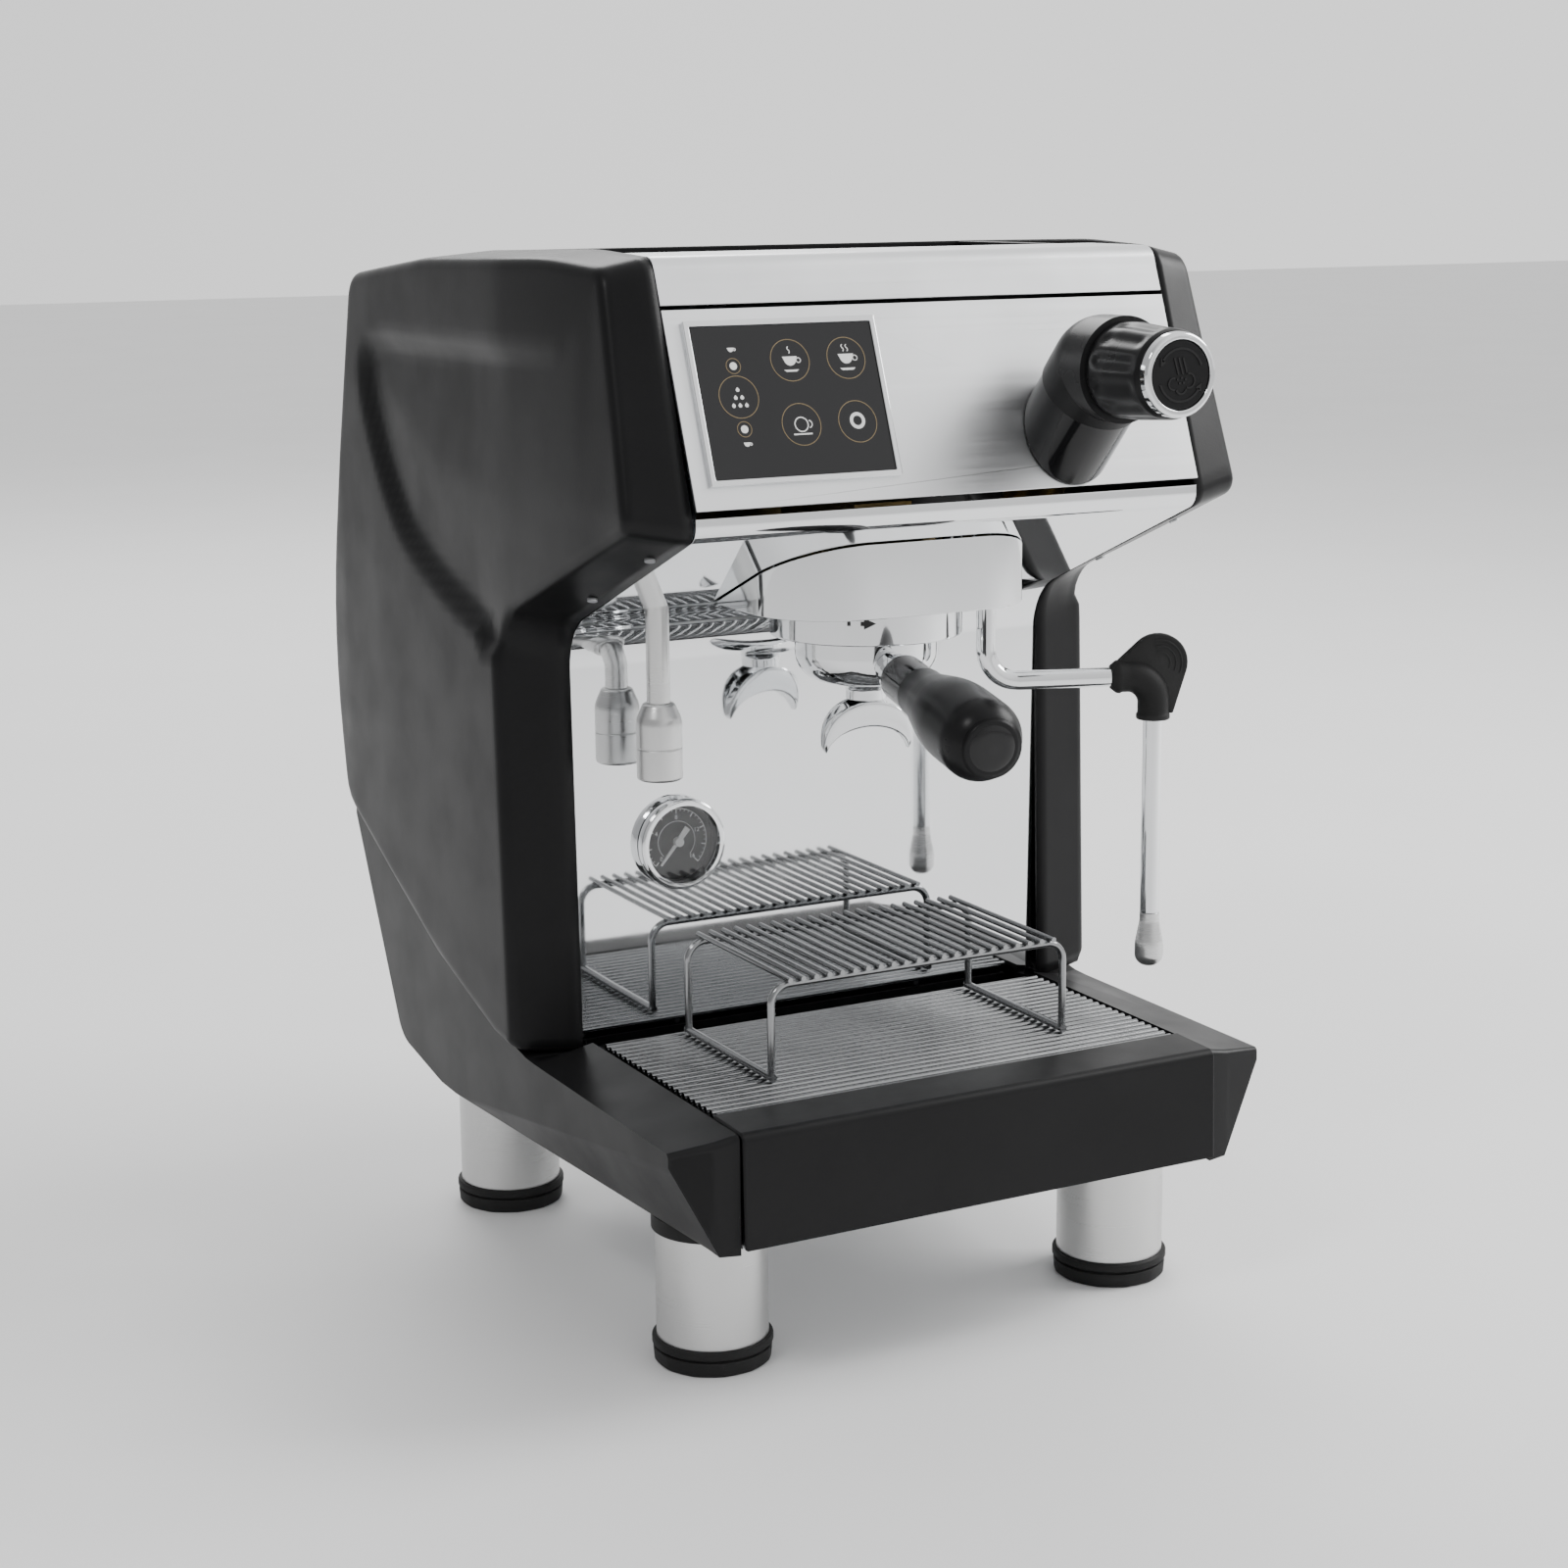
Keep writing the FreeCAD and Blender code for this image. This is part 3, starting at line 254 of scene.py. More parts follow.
def rounded(points, steps=6):
    """Corners (a, b) or (a, b, radius) as a closed line of points; arcs get equal steps."""
    corners = [Vector(p[:2]) for p in points]
    line = []
    for i, here in enumerate(corners):
        radius = points[i][2] if len(points[i]) > 2 else 0
        if not radius:
            line.append(here)
            continue
        heading = (here - corners[i - 1]).normalized()
        leaving = (corners[(i + 1) % len(corners)] - here).normalized()
        turn = heading.angle(leaving)
        back = radius * math.tan(turn / 2)
        side = 1 if heading.x * leaving.y - heading.y * leaving.x > 0 else -1
        centre = here - heading * back + Vector((-heading.y, heading.x)) * radius * side
        arm = here - heading * back - centre
        for k in range(steps + 1):
            swing = Matrix.Rotation(side * turn * k / steps, 2)
            line.append(centre + swing @ arm)
    return line


def subdivided(line, counts):
    """Closed line with each span cut into a stated number of parts."""
    made = []
    for i, here in enumerate(line):
        after = line[(i + 1) % len(line)]
        made += [here.lerp(after, k / counts[i]) for k in range(counts[i])]
    return made


LEAST_RADIUS = 0.002


def lathe(name, body, slot_name, profile, base, axis, segments=96, shape=None, closed=False):
    """Surface turned about an axis from (radius, height) points in mm.

    shape may vary the radius; a closed profile is one that returns to its first point.
    """
    axis = Vector(axis).normalized()
    across = axis.orthogonal().normalized()
    third = axis.cross(across)
    verts, faces = [], []
    for radius, height in profile:
        for k in range(segments):
            angle = TAU * k / segments
            reach = shape(angle, radius, height) if shape else radius
            verts.append(Vector(base) + (axis * height + (across * math.cos(angle)
                         + third * math.sin(angle)) * max(reach, LEAST_RADIUS)) * MM)
    for row in range(len(profile) - 1):
        for k in range(segments):
            after = (k + 1) % segments
            faces.append((row * segments + k, row * segments + after,
                          (row + 1) * segments + after, (row + 1) * segments + k))
    if not closed:
        faces.append(tuple(range(segments)))
        faces.append(tuple(range(len(verts) - segments, len(verts))))
    return piece(name, body, slot_name, verts, faces)


MARK_SINK = -0.05


class Flat:
    """A flat face on the machine that carries printed or engraved marks, in its own mm."""

    def __init__(self, origin, right, up):
        self.origin = Vector(origin)
        self.right = Vector(right).normalized()
        self.up = Vector(up).normalized()
        self.out = self.right.cross(self.up)

    def at(self, a, b, lift):
        return self.origin + (self.right * a + self.up * b + self.out * lift) * MM

    def marks(self, name, body, slot_name, plates, thickness=0.12):
        """Plates are closed outlines, or pairs of outlines that bound a band."""
        verts, faces = [], []
        for plate in plates:
            first = len(verts)
            if isinstance(plate, tuple):
                outer, inner = plate
                count = len(outer)
                for lift in (MARK_SINK, thickness):
                    for a, b in list(outer) + list(inner):
                        verts.append(self.at(a, b, lift))
                for k in range(count):
                    after = (k + 1) % count
                    low, high = first, first + 2 * count
                    faces += [(high + k, high + after, high + count + after, high + count + k),
                              (low + k, low + after, low + count + after, low + count + k),
                              (low + k, low + after, high + after, high + k),
                              (low + count + k, low + count + after,
                               high + count + after, high + count + k)]
                continue
            count = len(plate)
            for lift in (MARK_SINK, thickness):
                verts += [self.at(a, b, lift) for a, b in plate]
            faces += [tuple(range(first, first + count)),
                      tuple(range(first + count, first + 2 * count))]
            for k in range(count):
                after = (k + 1) % count
                faces.append((first + k, first + after, first + count + after, first + count + k))
        return piece(name, body, slot_name, verts, faces, smooth=False)


def circle(a, b, radius, count=48):
    return [(a + radius * math.cos(TAU * k / count), b + radius * math.sin(TAU * k / count))
            for k in range(count)]


def ring(a, b, radius, width, count=48):
    return circle(a, b, radius + width / 2, count), circle(a, b, radius - width / 2, count)


def stroke(points, width):
    """Closed outline of a line drawn with a given width."""
    left, right = [], []
    for i, here in enumerate(points):
        before, after = points[max(i - 1, 0)], points[min(i + 1, len(points) - 1)]
        along = Vector((after[0] - before[0], after[1] - before[1])).normalized()
        side = Vector((-along.y, along.x)) * width / 2
        left.append((here[0] + side.x, here[1] + side.y))
        right.append((here[0] - side.x, here[1] - side.y))
    return left + right[::-1]


def arc(a, b, radius, first, last, count=20):
    """Points on a circle between two angles in degrees."""
    angles = [math.radians(first + (last - first) * k / count) for k in range(count + 1)]
    return [(a + radius * math.cos(t), b + radius * math.sin(t)) for t in angles]


# ------------------------------------------------------------------ moulded side panels
EDGE = [(-19, 121), (-14, 320, 24), (-147, 374, 8), (-109, 488, 12), (-56, 490.5, 300),
        (68, 488, 300), (172, 478.5, 16), (223, 290, 220), (205, 203), (80, 147), (11, 124)]
BROW = [(-12, 123), (-5, 325, 24), (-140, 378, 8), (-105, 484, 12), (-56, 488, 300),
        (68, 485.5, 300), (168, 476, 16), (221, 290, 220), (203, 206), (80, 149), (11, 126)]
CREASE = [(-70, 452), (0, 450), (75, 449), (150, 450), (160, 425), (132, 375), (92, 338), (14, 316)]
PANEL_INNER = 126
PANEL_SKIN = 2.6
CORNER = 5.0
SCOOP = 6.0
SCOOP_RISE = 9
SCOOP_REACH = 75
RIM_SPACING = 6
RIM_ROWS = (0.4, 1.2, 2.4, 4, 6, 8.5, 12, 16)
CELL = 4.5
CELL_MARGIN = 18.5
WALL_STEPS = (0.75, 0.5, 0.25, 0.0)
WIDTH_AT = [(-150, 154), (-120, 154.5), (-10, 159.5), (60, 161), (140, 162), (190, 162), (225, 160)]


def flank(y, z):
    """Half width of the machine over a side panel's face, by depth and height, in mm."""
    width = np.interp(y, *zip(*WIDTH_AT))
    top = np.clip((z - 385) / 95, 0, 1) * np.clip((-20 - y) / 80, 0, 1)
    return width - 7 * top


def smooth_line(points, count=90):
    """Quadratic B-spline through the middles of a few guide points' spans."""
    guide = [np.array(p, float) for p in points]
    made = []
    for i in range(1, len(guide) - 1):
        first = guide[i - 1] if i == 1 else (guide[i - 1] + guide[i]) / 2
        last = guide[i + 1] if i == len(guide) - 2 else (guide[i] + guide[i + 1]) / 2
        for t in np.linspace(0, 1, count // len(guide), endpoint=False):
            made.append(first * (1 - t) ** 2 + guide[i] * 2 * t * (1 - t) + last * t ** 2)
    made.append(guide[-1])
    return np.array(made)


def nearest(points, line, closed):
    """Distance of each point to a line, and the side of it that the point is on."""
    ends = np.roll(line, -1, axis=0) if closed else line[1:]
    starts = line if closed else line[:-1]
    run = ends - starts
    rel = points[:, None, :] - starts[None]
    share = np.clip((rel * run).sum(-1) / (run * run).sum(-1), 0, 1)
    gap = rel - share[..., None] * run
    far = np.linalg.norm(gap, axis=-1)
    best = far.argmin(axis=1)
    rows = np.arange(len(points))
    cross = run[best, 0] * rel[rows, best, 1] - run[best, 1] * rel[rows, best, 0]
    return far[rows, best], np.sign(cross)


def panel_depth(points, inward):
    """X of the panel's face at (y, z) points, given their distance from the outline."""
    crease = smooth_line(CREASE)
    gap, side = nearest(points, crease, False)
    inside = side < 0
    rise = np.clip(gap / SCOOP_RISE, 0, 1)
    rise = rise * rise * (3 - 2 * rise)
    fade = np.clip((points[:, 0] + 90) / 110, 0, 1)
    dip = np.where(inside, SCOOP * rise * np.exp(-gap / SCOOP_REACH) * fade, 0)
    turn = 1 - np.clip(inward / CORNER, 0, 1)
    return flank(points[:, 0], points[:, 1]) - dip - CORNER + CORNER * np.sqrt(1 - turn * turn)


def face_points(outline):
    """Points over a face: the rim, rows that follow it, then an even grid."""
    flat = [Vector(p) for p in outline]
    heading = np.roll(outline, -1, axis=0) - np.roll(outline, 1, axis=0)
    normal = np.stack([heading[:, 1], -heading[:, 0]], axis=1)
    normal /= np.linalg.norm(normal, axis=1)[:, None]
    middle = outline.mean(axis=0)
    if ((middle - outline) * normal).sum() < 0:
        normal = -normal
    for depth in RIM_ROWS:
        moved = outline + normal * depth
        gap, _ = nearest(moved, outline, True)
        flat += [Vector(p) for p, g in zip(moved, gap) if g > depth * 0.97]
    low, high = outline.min(axis=0), outline.max(axis=0)
    cells = np.array([(y, z) for y in np.arange(low[0], high[0], CELL)
                      for z in np.arange(low[1], high[1], CELL)])
    gap, _ = nearest(cells, outline, True)
    return flat + [Vector(p) for p, g in zip(cells, gap) if g > CELL_MARGIN]


def side_panel(name, side, node):
    """Moulded panel: a scooped face, a rounded brow and a wall back to the inner edge."""
    edge, brow = rounded(EDGE), rounded(BROW)
    counts = [max(1, round((edge[(i + 1) % len(edge)] - p).length / RIM_SPACING))
              for i, p in enumerate(edge)]
    edge, brow = subdivided(edge, counts), subdivided(brow, counts)
    outline = np.array([tuple(p) for p in brow])
    count = len(outline)
    flat = face_points(outline)
    rim = [(i, (i + 1) % count) for i in range(count)]
    points, _, triangles, origins, _, _ = delaunay_2d_cdt(flat, rim, [], 1, 1e-6)
    spots = np.array([tuple(p) for p in points])
    inward, _ = nearest(spots, outline, True)
    depth = panel_depth(spots, inward)
    verts = [Vector((side * x, p[0], p[1])) * MM for x, p in zip(depth, spots)]
    faces = [tuple(t) for t in triangles]
    where = {first: k for k, group in enumerate(origins) for first in group if first < count}
    ring_now = [where[i] for i in range(count)]
    for step in WALL_STEPS:
        begin = len(verts)
        for i in range(count):
            spot = edge[i].lerp(brow[i], step)
            shoulder = flank(spot.x, spot.y) - CORNER
            x = PANEL_INNER + (shoulder - PANEL_INNER) * step
            verts.append(Vector((side * x, spot.x, spot.y)) * MM)
        for i in range(count):
            after = (i + 1) % count
            faces.append((ring_now[i], ring_now[after], begin + after, begin + i))
        ring_now = list(range(begin, begin + count))
    made = piece(name, "machine", "black_abs", verts, faces)
    made.modifiers.new("Evened", "SMOOTH").iterations = 1
    shell = made.modifiers.new("Skin", "SOLIDIFY")
    shell.thickness = PANEL_SKIN * MM
    shell.offset = -1
    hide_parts(node)


side_panel("moulded_panel_right", 1, "side_panel_right")
side_panel("moulded_panel_left", -1, "side_panel_left")


# ------------------------------------------------------------------ control panel marks
LEAN = math.radians(69.2)
PANEL_UP = Vector((0, math.cos(LEAN), math.sin(LEAN)))
PANEL_OUT = Vector((0, -math.sin(LEAN), math.cos(LEAN)))
GLASS_LIFT = 1.7
panel_middle = Vector((-72.5, -130.7, 428)) * MM + PANEL_OUT * GLASS_LIFT * MM
control = Flat(panel_middle, (1, 0, 0), PANEL_UP)

COLUMNS = (-25.5, 1.5, 28.5)
ROWS = (17, -11)
SIGN_RADIUS = 9.1


def cup(a, b, wide, saucer=True):
    """Side view of a cup, with its ear and saucer."""
    half = wide / 2
    bowl = [(a - half, b + half * 0.7)]
    bowl += arc(a, b + half * 0.35, half * 0.8, 200, 340, 12)
    bowl.append((a + half, b + half * 0.7))
    plates = [bowl, ring(a + half * 1.12, b + half * 0.2, half * 0.3, 0.35, 20)]
    if saucer:
        plates.append([(a - half, b - half * 0.95), (a + half, b - half * 0.95),
                       (a + half * 0.7, b - half * 1.2), (a - half * 0.7, b - half * 1.2)])
    return plates


def wisp(a, b, tall):
    """Rising line of steam."""
    return stroke([(a + 0.45 * math.sin(TAU * k / 10), b + tall * k / 10) for k in range(11)], 0.4)


def drop(a, b, size):
    return [(a, b + size * 1.4)] + arc(a, b, size, 30, -210, 14)


def control_marks():
    white, bronze = [], []
    for a in COLUMNS[1:]:
        for b in ROWS:
            bronze.append(ring(a, b, SIGN_RADIUS, 0.35))
    bronze.append(ring(COLUMNS[0], 2.1, SIGN_RADIUS, 0.35))
    white += cup(COLUMNS[1], ROWS[0] - 0.8, 7) + [wisp(COLUMNS[1], ROWS[0] + 3, 3)]
    white += cup(COLUMNS[2], ROWS[0] - 0.8, 7.5)
    white += [wisp(COLUMNS[2] + shift, ROWS[0] + 3, 3) for shift in (-1, 1)]
    white += [ring(COLUMNS[1], ROWS[1], 3.1, 0.5, 30)]
    white += [stroke(arc(COLUMNS[1] + 3.4, ROWS[1], 1.6, -80, 80), 0.45)]
    white += [stroke([(COLUMNS[1] - 4.4, ROWS[1] - 4.2), (COLUMNS[1] + 4.4, ROWS[1] - 4.2)], 0.6)]
    white += [ring(COLUMNS[2], ROWS[1] + 0.4, 2.9, 1.5, 32)]
    for row, spots in enumerate(((0,), (-1.5, 1.5), (-3, 0, 3))):
        for shift in spots:
            white.append(drop(COLUMNS[0] + shift, 5.2 - row * 3.4, 0.85))
    for b in (15.5, -11.8):
        white.append(circle(COLUMNS[0], b, 1.7, 24))
        bronze.append(ring(COLUMNS[0], b, 3.3, 0.3, 32))
    white += cup(COLUMNS[0], 22.3, 3.2, False) + cup(COLUMNS[0], -18.6, 3.2, False)
    control.marks("panel_signs", "machine", "white_paint", white)
    control.marks("panel_sign_rings", "machine", "ring_bronze", bronze)


control_marks()

# ------------------------------------------------------------------ steam knob
ring_low, ring_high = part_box("knob_ring")
KNOB_FRONT = Vector(((ring_low.x + ring_high.x) / 2, ring_high.y, (ring_low.z + ring_high.z) / 2))
FLUTES = 12
FLUTE_DEPTH = 1.2
FLUTE_LOW = 3
FLUTE_HIGH = 33
FLUTE_FADE = 4
FLUTED_FROM = 15
BARREL_LENGTH = 36.8
BARREL_STEP = 1.5


def fluted(angle, radius, height):
    """Barrel radius with broad shallow flutes that die out towards both ends."""
    if radius < FLUTED_FROM:
        return radius
    rise = min(1, max(0, (height - FLUTE_LOW) / FLUTE_FADE))
    fall = min(1, max(0, (FLUTE_HIGH - height) / FLUTE_FADE))
    wave = 0.5 + 0.5 * math.cos(FLUTES * angle)
    return radius - FLUTE_DEPTH * wave * rise * fall


BARREL = [(0, -9), (8.6, -9, 0.6), (8.9, 0), (20.5, 0, 1.2), (20.5, 12, 60), (19, 34, 4),
          (18.2, 36.7, 0.6), (0, 36.7)]
barrel_line = [tuple(p) for p in rounded(BARREL)][:-1]
dense = []
for first, last in zip(barrel_line, barrel_line[1:]):
    parts = max(1, round(math.dist(first, last) / BARREL_STEP))
    dense += [(first[0] + (last[0] - first[0]) * k / parts, first[1] + (last[1] - first[1]) * k / parts)
              for k in range(parts)]
dense.append(barrel_line[-1])
KNOB_BACK = (KNOB_FRONT.x, ring_high.y + BARREL_LENGTH * MM, KNOB_FRONT.z)
barrel = lathe("fluted_knob", "knob", "knob_black", dense, KNOB_BACK, (0, -1, 0), 240, fluted)
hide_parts("steam_knob")

cap_low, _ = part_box("knob_cap")
cap_face = Flat((KNOB_FRONT.x, cap_low.y, KNOB_FRONT.z), (1, 0, 0), (0, 0, 1))


def cap_marks():
    """Steam sign, a cloud under three rising lines, between two turning arrows."""
    plates = [stroke([(-3.4 + shift, 7.2), (-1.2 + shift, 0.2)], 0.8) for shift in (0, 2.2, 4.4)]
    plates.append(stroke(arc(-3.6, -3.6, 2.4, 75, 290, 16), 0.8))
    plates.append(stroke(arc(0.2, -5.2, 2.6, 200, 345, 14), 0.8))
    plates.append(stroke(arc(4.0, -2.4, 3.0, -110, 110, 18), 0.8))
    for a, b in ((-1.6, -1.8), (0.4, -1.2), (2.4, -1.8), (-0.6, -3.4), (1.4, -3.2)):
        plates.append(circle(a, b, 0.5, 16))
    for turn in (20, 200):
        plates.append(stroke(arc(0, 0, 10.9, turn, turn + 128, 30), 1.0))
        tip = math.radians(turn + 134)
        plates.append([(12.6 * math.cos(tip - 0.16), 12.6 * math.sin(tip - 0.16)),
                       (10.9 * math.cos(tip + 0.12), 10.9 * math.sin(tip + 0.12)),
                       (9.2 * math.cos(tip - 0.16), 9.2 * math.sin(tip - 0.16))])
    cap_face.marks("knob_signs", "knob", "black_gloss", plates, 0.35)


cap_marks()

# ------------------------------------------------------------------ gauge marks
dial_low, dial_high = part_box("gauge_dial")
dial = Flat(((dial_low.x + dial_high.x) / 2, dial_low.y, (dial_low.z + dial_high.z) / 2),
            (1, 0, 0), (0, 0, 1))


SCALE_START = 225
SCALE_SWEEP = 270
SCALE_RADIUS = 15.6
TICKS = 32
NUMBERS = (0, 4, 8, 12, 16)


def dial_marks():
    """Outer and inner scale arcs with long and short ticks."""
    scale_end = SCALE_START - SCALE_SWEEP
    plates = [stroke(arc(0, 0, SCALE_RADIUS, SCALE_START, scale_end, 60), 0.35),
              stroke(arc(0, 0, 9.6, SCALE_START, scale_end, 48), 0.25)]
    for k in range(TICKS + 1):
        angle = math.radians(SCALE_START - SCALE_SWEEP * k / TICKS)
        inner, width = (13.2, 0.5) if k % 4 == 0 else (14.4, 0.25)
        plates.append(stroke([(inner * math.cos(angle), inner * math.sin(angle)),
                              (SCALE_RADIUS * math.cos(angle), SCALE_RADIUS * math.sin(angle))],
                             width))
    dial.marks("gauge_scale", "machine", "white_paint", plates, 0.08)


def dial_numbers():
    for k, value in enumerate(NUMBERS):
        angle = math.radians(SCALE_START - SCALE_SWEEP * k / (len(NUMBERS) - 1))
        text = bpy.data.curves.new(f"gauge_number_{value}", "FONT")
        text.body = str(value)
        text.size = 3.0 * MM
        text.extrude = 0.04 * MM
        text.align_x = "CENTER"
        text.align_y = "CENTER"
        made = bpy.data.objects.new(f"gauge_number_{value}", text)
        bpy.context.scene.collection.objects.link(made)
        turn = Matrix((dial.right, dial.up, dial.out)).transposed().to_4x4()
        spot = dial.at(11.4 * math.cos(angle), 11.4 * math.sin(angle), 0.05)
        made.matrix_world = Matrix.Translation(spot) @ turn
        text.materials.append(MATERIALS["white_paint"])
        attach(made, "machine")


dial_marks()
dial_numbers()

# ------------------------------------------------------------------ steam wand grip
wand_low, wand_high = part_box("steam_wand")
YAW = math.radians(-18.9)
ARM = Vector((math.cos(YAW), math.sin(YAW), 0))
ACROSS = Vector((-math.sin(YAW), math.cos(YAW), 0))
WAND_AXIS = Vector(((wand_low.x + wand_high.x) / 2, (wand_low.y + wand_high.y) / 2, 0))
ARM_HEIGHT = 291.5
GRIP_ELBOW = 12
GRIP_BOTTOM = 271.1
GRIP_LEFT = -20.8
FIN = [(-17.4, 299), (-3.6, 311.2, 13.8), (20.8, 311.2, 13.8), (9.2, 273.6, 1), (0, 273.6),
       (-17.4, 291.5)]
FIN_CENTRE = (1.7, 297.3)


def sleeve_path():
    """Points (along the arm, height, radius) from the lower lip up and round to the arm."""
    top = ARM_HEIGHT - GRIP_ELBOW
    path = [(0, GRIP_BOTTOM, 5.0), (0, GRIP_BOTTOM, 7.5), (0, GRIP_BOTTOM + 0.5, 7.9),
            (0, GRIP_BOTTOM + 2.2, 7.9), (0, GRIP_BOTTOM + 2.8, 7.4)]
    path += [(0, GRIP_BOTTOM + 2.8 + (top - GRIP_BOTTOM - 2.8) * k / 4, 7.3) for k in range(1, 5)]
    for k in range(1, 13):
        angle = math.pi / 2 * k / 12
        path.append((-GRIP_ELBOW + GRIP_ELBOW * math.cos(angle), top + GRIP_ELBOW * math.sin(angle),
                     7.3 + 0.4 * math.sin(2 * angle)))
    path += [(-15.5, ARM_HEIGHT, 7.3), (-16.6, ARM_HEIGHT, 7.8), (-18.0, ARM_HEIGHT, 7.6),
             (GRIP_LEFT + 0.2, ARM_HEIGHT, 5.6), (GRIP_LEFT, ARM_HEIGHT, 4.9)]
    return path


def grip():
    """Rubber sleeve round the elbow of the arm, with a drop-shaped fin and curved ridges."""
    path = sleeve_path()
    verts, faces = [], []
    count = 48
    for i, (a, z, radius) in enumerate(path):
        before, after = path[max(i - 2, 0)], path[min(i + 2, len(path) - 1)]
        along = Vector((after[0] - before[0], after[1] - before[1])).normalized()
        centre = WAND_AXIS + ARM * a * MM + Vector((0, 0, z)) * MM
        lift = ARM * -along.y + Vector((0, 0, along.x))
        for k in range(count):
            angle = TAU * k / count
            verts.append(centre + (lift * math.cos(angle) + ACROSS * math.sin(angle)) * radius * MM)
    for row in range(len(path) - 1):
        for k in range(count):
            after = (k + 1) % count
            faces.append((row * count + k, row * count + after,
                          (row + 1) * count + after, (row + 1) * count + k))
    faces += [tuple(range(count)), tuple(range(len(verts) - count, len(verts)))]
    sleeve = piece("rubber_grip", "wand", "rubber", verts, faces)
    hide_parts("wand_grip")
    back = Flat(WAND_AXIS + ACROSS * 2.4 * MM, ARM, (0, 0, 1))
    fin = back.marks("grip_fin", "wand", "rubber", [[tuple(p) for p in rounded(FIN, 20)]], 4.8)
    soften(fin, 1.0 * MM, 3)
    front = Flat(WAND_AXIS - ACROSS * 2.4 * MM, ARM, (0, 0, 1))
    ridges = [stroke(arc(*FIN_CENTRE, radius, -25, 100, 24), 0.8) for radius in (5.5, 8.3, 11.1)]
    made = front.marks("grip_ridges", "wand", "rubber", ridges, 0.5)
    soften(made, 0.3 * MM, 2)


grip()

# ------------------------------------------------------------------ portafilter handle and spout
SWING = math.radians(-10)
DIP = math.radians(6.6)
HANDLE_BASE = GROUP_CENTRE + Vector((0, 0, 307)) * MM
HANDLE_AXIS = Vector((math.sin(SWING) * math.cos(DIP), -math.cos(SWING) * math.cos(DIP),
                      -math.sin(DIP)))
HANDLE_NECK = [(0, 49.2), (10.9, 49.2, 1.2), (11.0, 74, 0.4), (0, 74)]
HANDLE_BULB = [(0, 73.4), (11.6, 73.4, 0.7), (11.7, 82, 70), (18.1, 112, 90), (18.1, 155.4, 15),
               (12.9, 155.9, 0.4), (12.7, 154.6), (0, 154.6)]
HANDLE_END = [(0, 150), (12.4, 150), (12.4, 155.0, 1.5), (8.5, 157.0, 12), (0, 157.3)]


def closer(line, step):
    """The same line with no gap between points longer than the step."""
    made = []
    for first, last in zip(line, line[1:]):
        parts = max(1, math.ceil(math.dist(first, last) / step))
        made += [(first[0] + (last[0] - first[0]) * k / parts,
                  first[1] + (last[1] - first[1]) * k / parts) for k in range(parts)]
    made.append(tuple(line[-1]))
    return made


def handle():
    """Glossy neck, satin bulb and a glossy ball end set into the bulb."""
    bulb = lathe("handle_bulb", "portafilter", "satin_black", closer(rounded(HANDLE_BULB, 14), 2.5),
                 HANDLE_BASE, HANDLE_AXIS)
    lathe("handle_neck", "portafilter", "black_gloss", closer(rounded(HANDLE_NECK), 2.5),
          HANDLE_BASE, HANDLE_AXIS)
    lathe("handle_end", "portafilter", "black_gloss", closer(rounded(HANDLE_END, 10), 1.5),
          HANDLE_BASE, HANDLE_AXIS)
    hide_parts("portafilter_handle")


SPOUT_WALL = [(-0.06, 0.0), (-0.06, 0.48), (-0.10, 0.60), (-0.03, 0.70), (0.07, 0.69), (0.3, 0.82),
              (0.65, 0.94), (0.92, 0.98), (1.0, 0.95), (1.0, 0.86), (0.9, 0.82), (0.65, 0.76),
              (0.4, 0.6), (0.26, 0.35), (0.22, 0.0)]

SPOUT_LOW = 259.1
SPOUT_STATIONS = 60
SPOUT_ARC = 176


def spout():
    """Arched open trough that narrows to a point at each outlet."""
    across = Vector((math.cos(SWING), math.sin(SWING), 0))
    deep = Vector((-math.sin(SWING), math.cos(SWING), 0))
    section = SPOUT_WALL + [(u, -d) for u, d in SPOUT_WALL[-2:0:-1]]
    count = len(section)
    verts, faces = [], []
    for k in range(SPOUT_STATIONS + 1):
        angle = math.radians(SPOUT_ARC * (k / SPOUT_STATIONS - 0.5))
        sine, cosine = math.sin(angle), math.cos(angle)
        outer = (21.4 * sine, 259.4 + 24.4 * cosine ** 0.72)
        inner = (20.2 * sine, 259.2 + 13.4 * cosine)
        half = 1.0 + 7.4 * cosine ** 0.5
        for u, d in section:
            a = inner[0] + (outer[0] - inner[0]) * u
            z = inner[1] + (outer[1] - inner[1]) * u
            verts.append(GROUP_CENTRE + (across * a + deep * half * d) * MM
                         + Vector((0, 0, max(z, SPOUT_LOW))) * MM)
    for row in range(SPOUT_STATIONS):
        for k in range(count):
            after = (k + 1) % count
            faces.append((row * count + k, row * count + after,
                          (row + 1) * count + after, (row + 1) * count + k))
    faces += [tuple(range(count)), tuple(range(len(verts) - count, len(verts)))]
    made = piece("open_spout", "portafilter", "chrome", verts, faces)
    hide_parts("portafilter_spout")


handle()
spout()

# ------------------------------------------------------------------ hot water nozzle
NOZZLE_AXIS = Vector((-92, -35, 0)) * MM
NOZZLE = [(2.1, 250.1), (10.6, 250.1, 1.6), (10.6, 264.6, 0.4), (10.3, 265),
          (10.6, 265.4, 0.4), (10.6, 278, 12), (7.2, 285.9, 2.4), (5.5, 285.9), (5.5, 283.9),
          (2.1, 283.9)]


def nozzle():
    """Domed cup with a seam line, round a bore."""
    line = [tuple(p) for p in rounded(NOZZLE, 12)]
    made = lathe("domed_nozzle", "machine", "brushed_steel", line + line[:1], NOZZLE_AXIS,
                 (0, 0, 1), closed=True)
    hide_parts("water_nozzle")


nozzle()

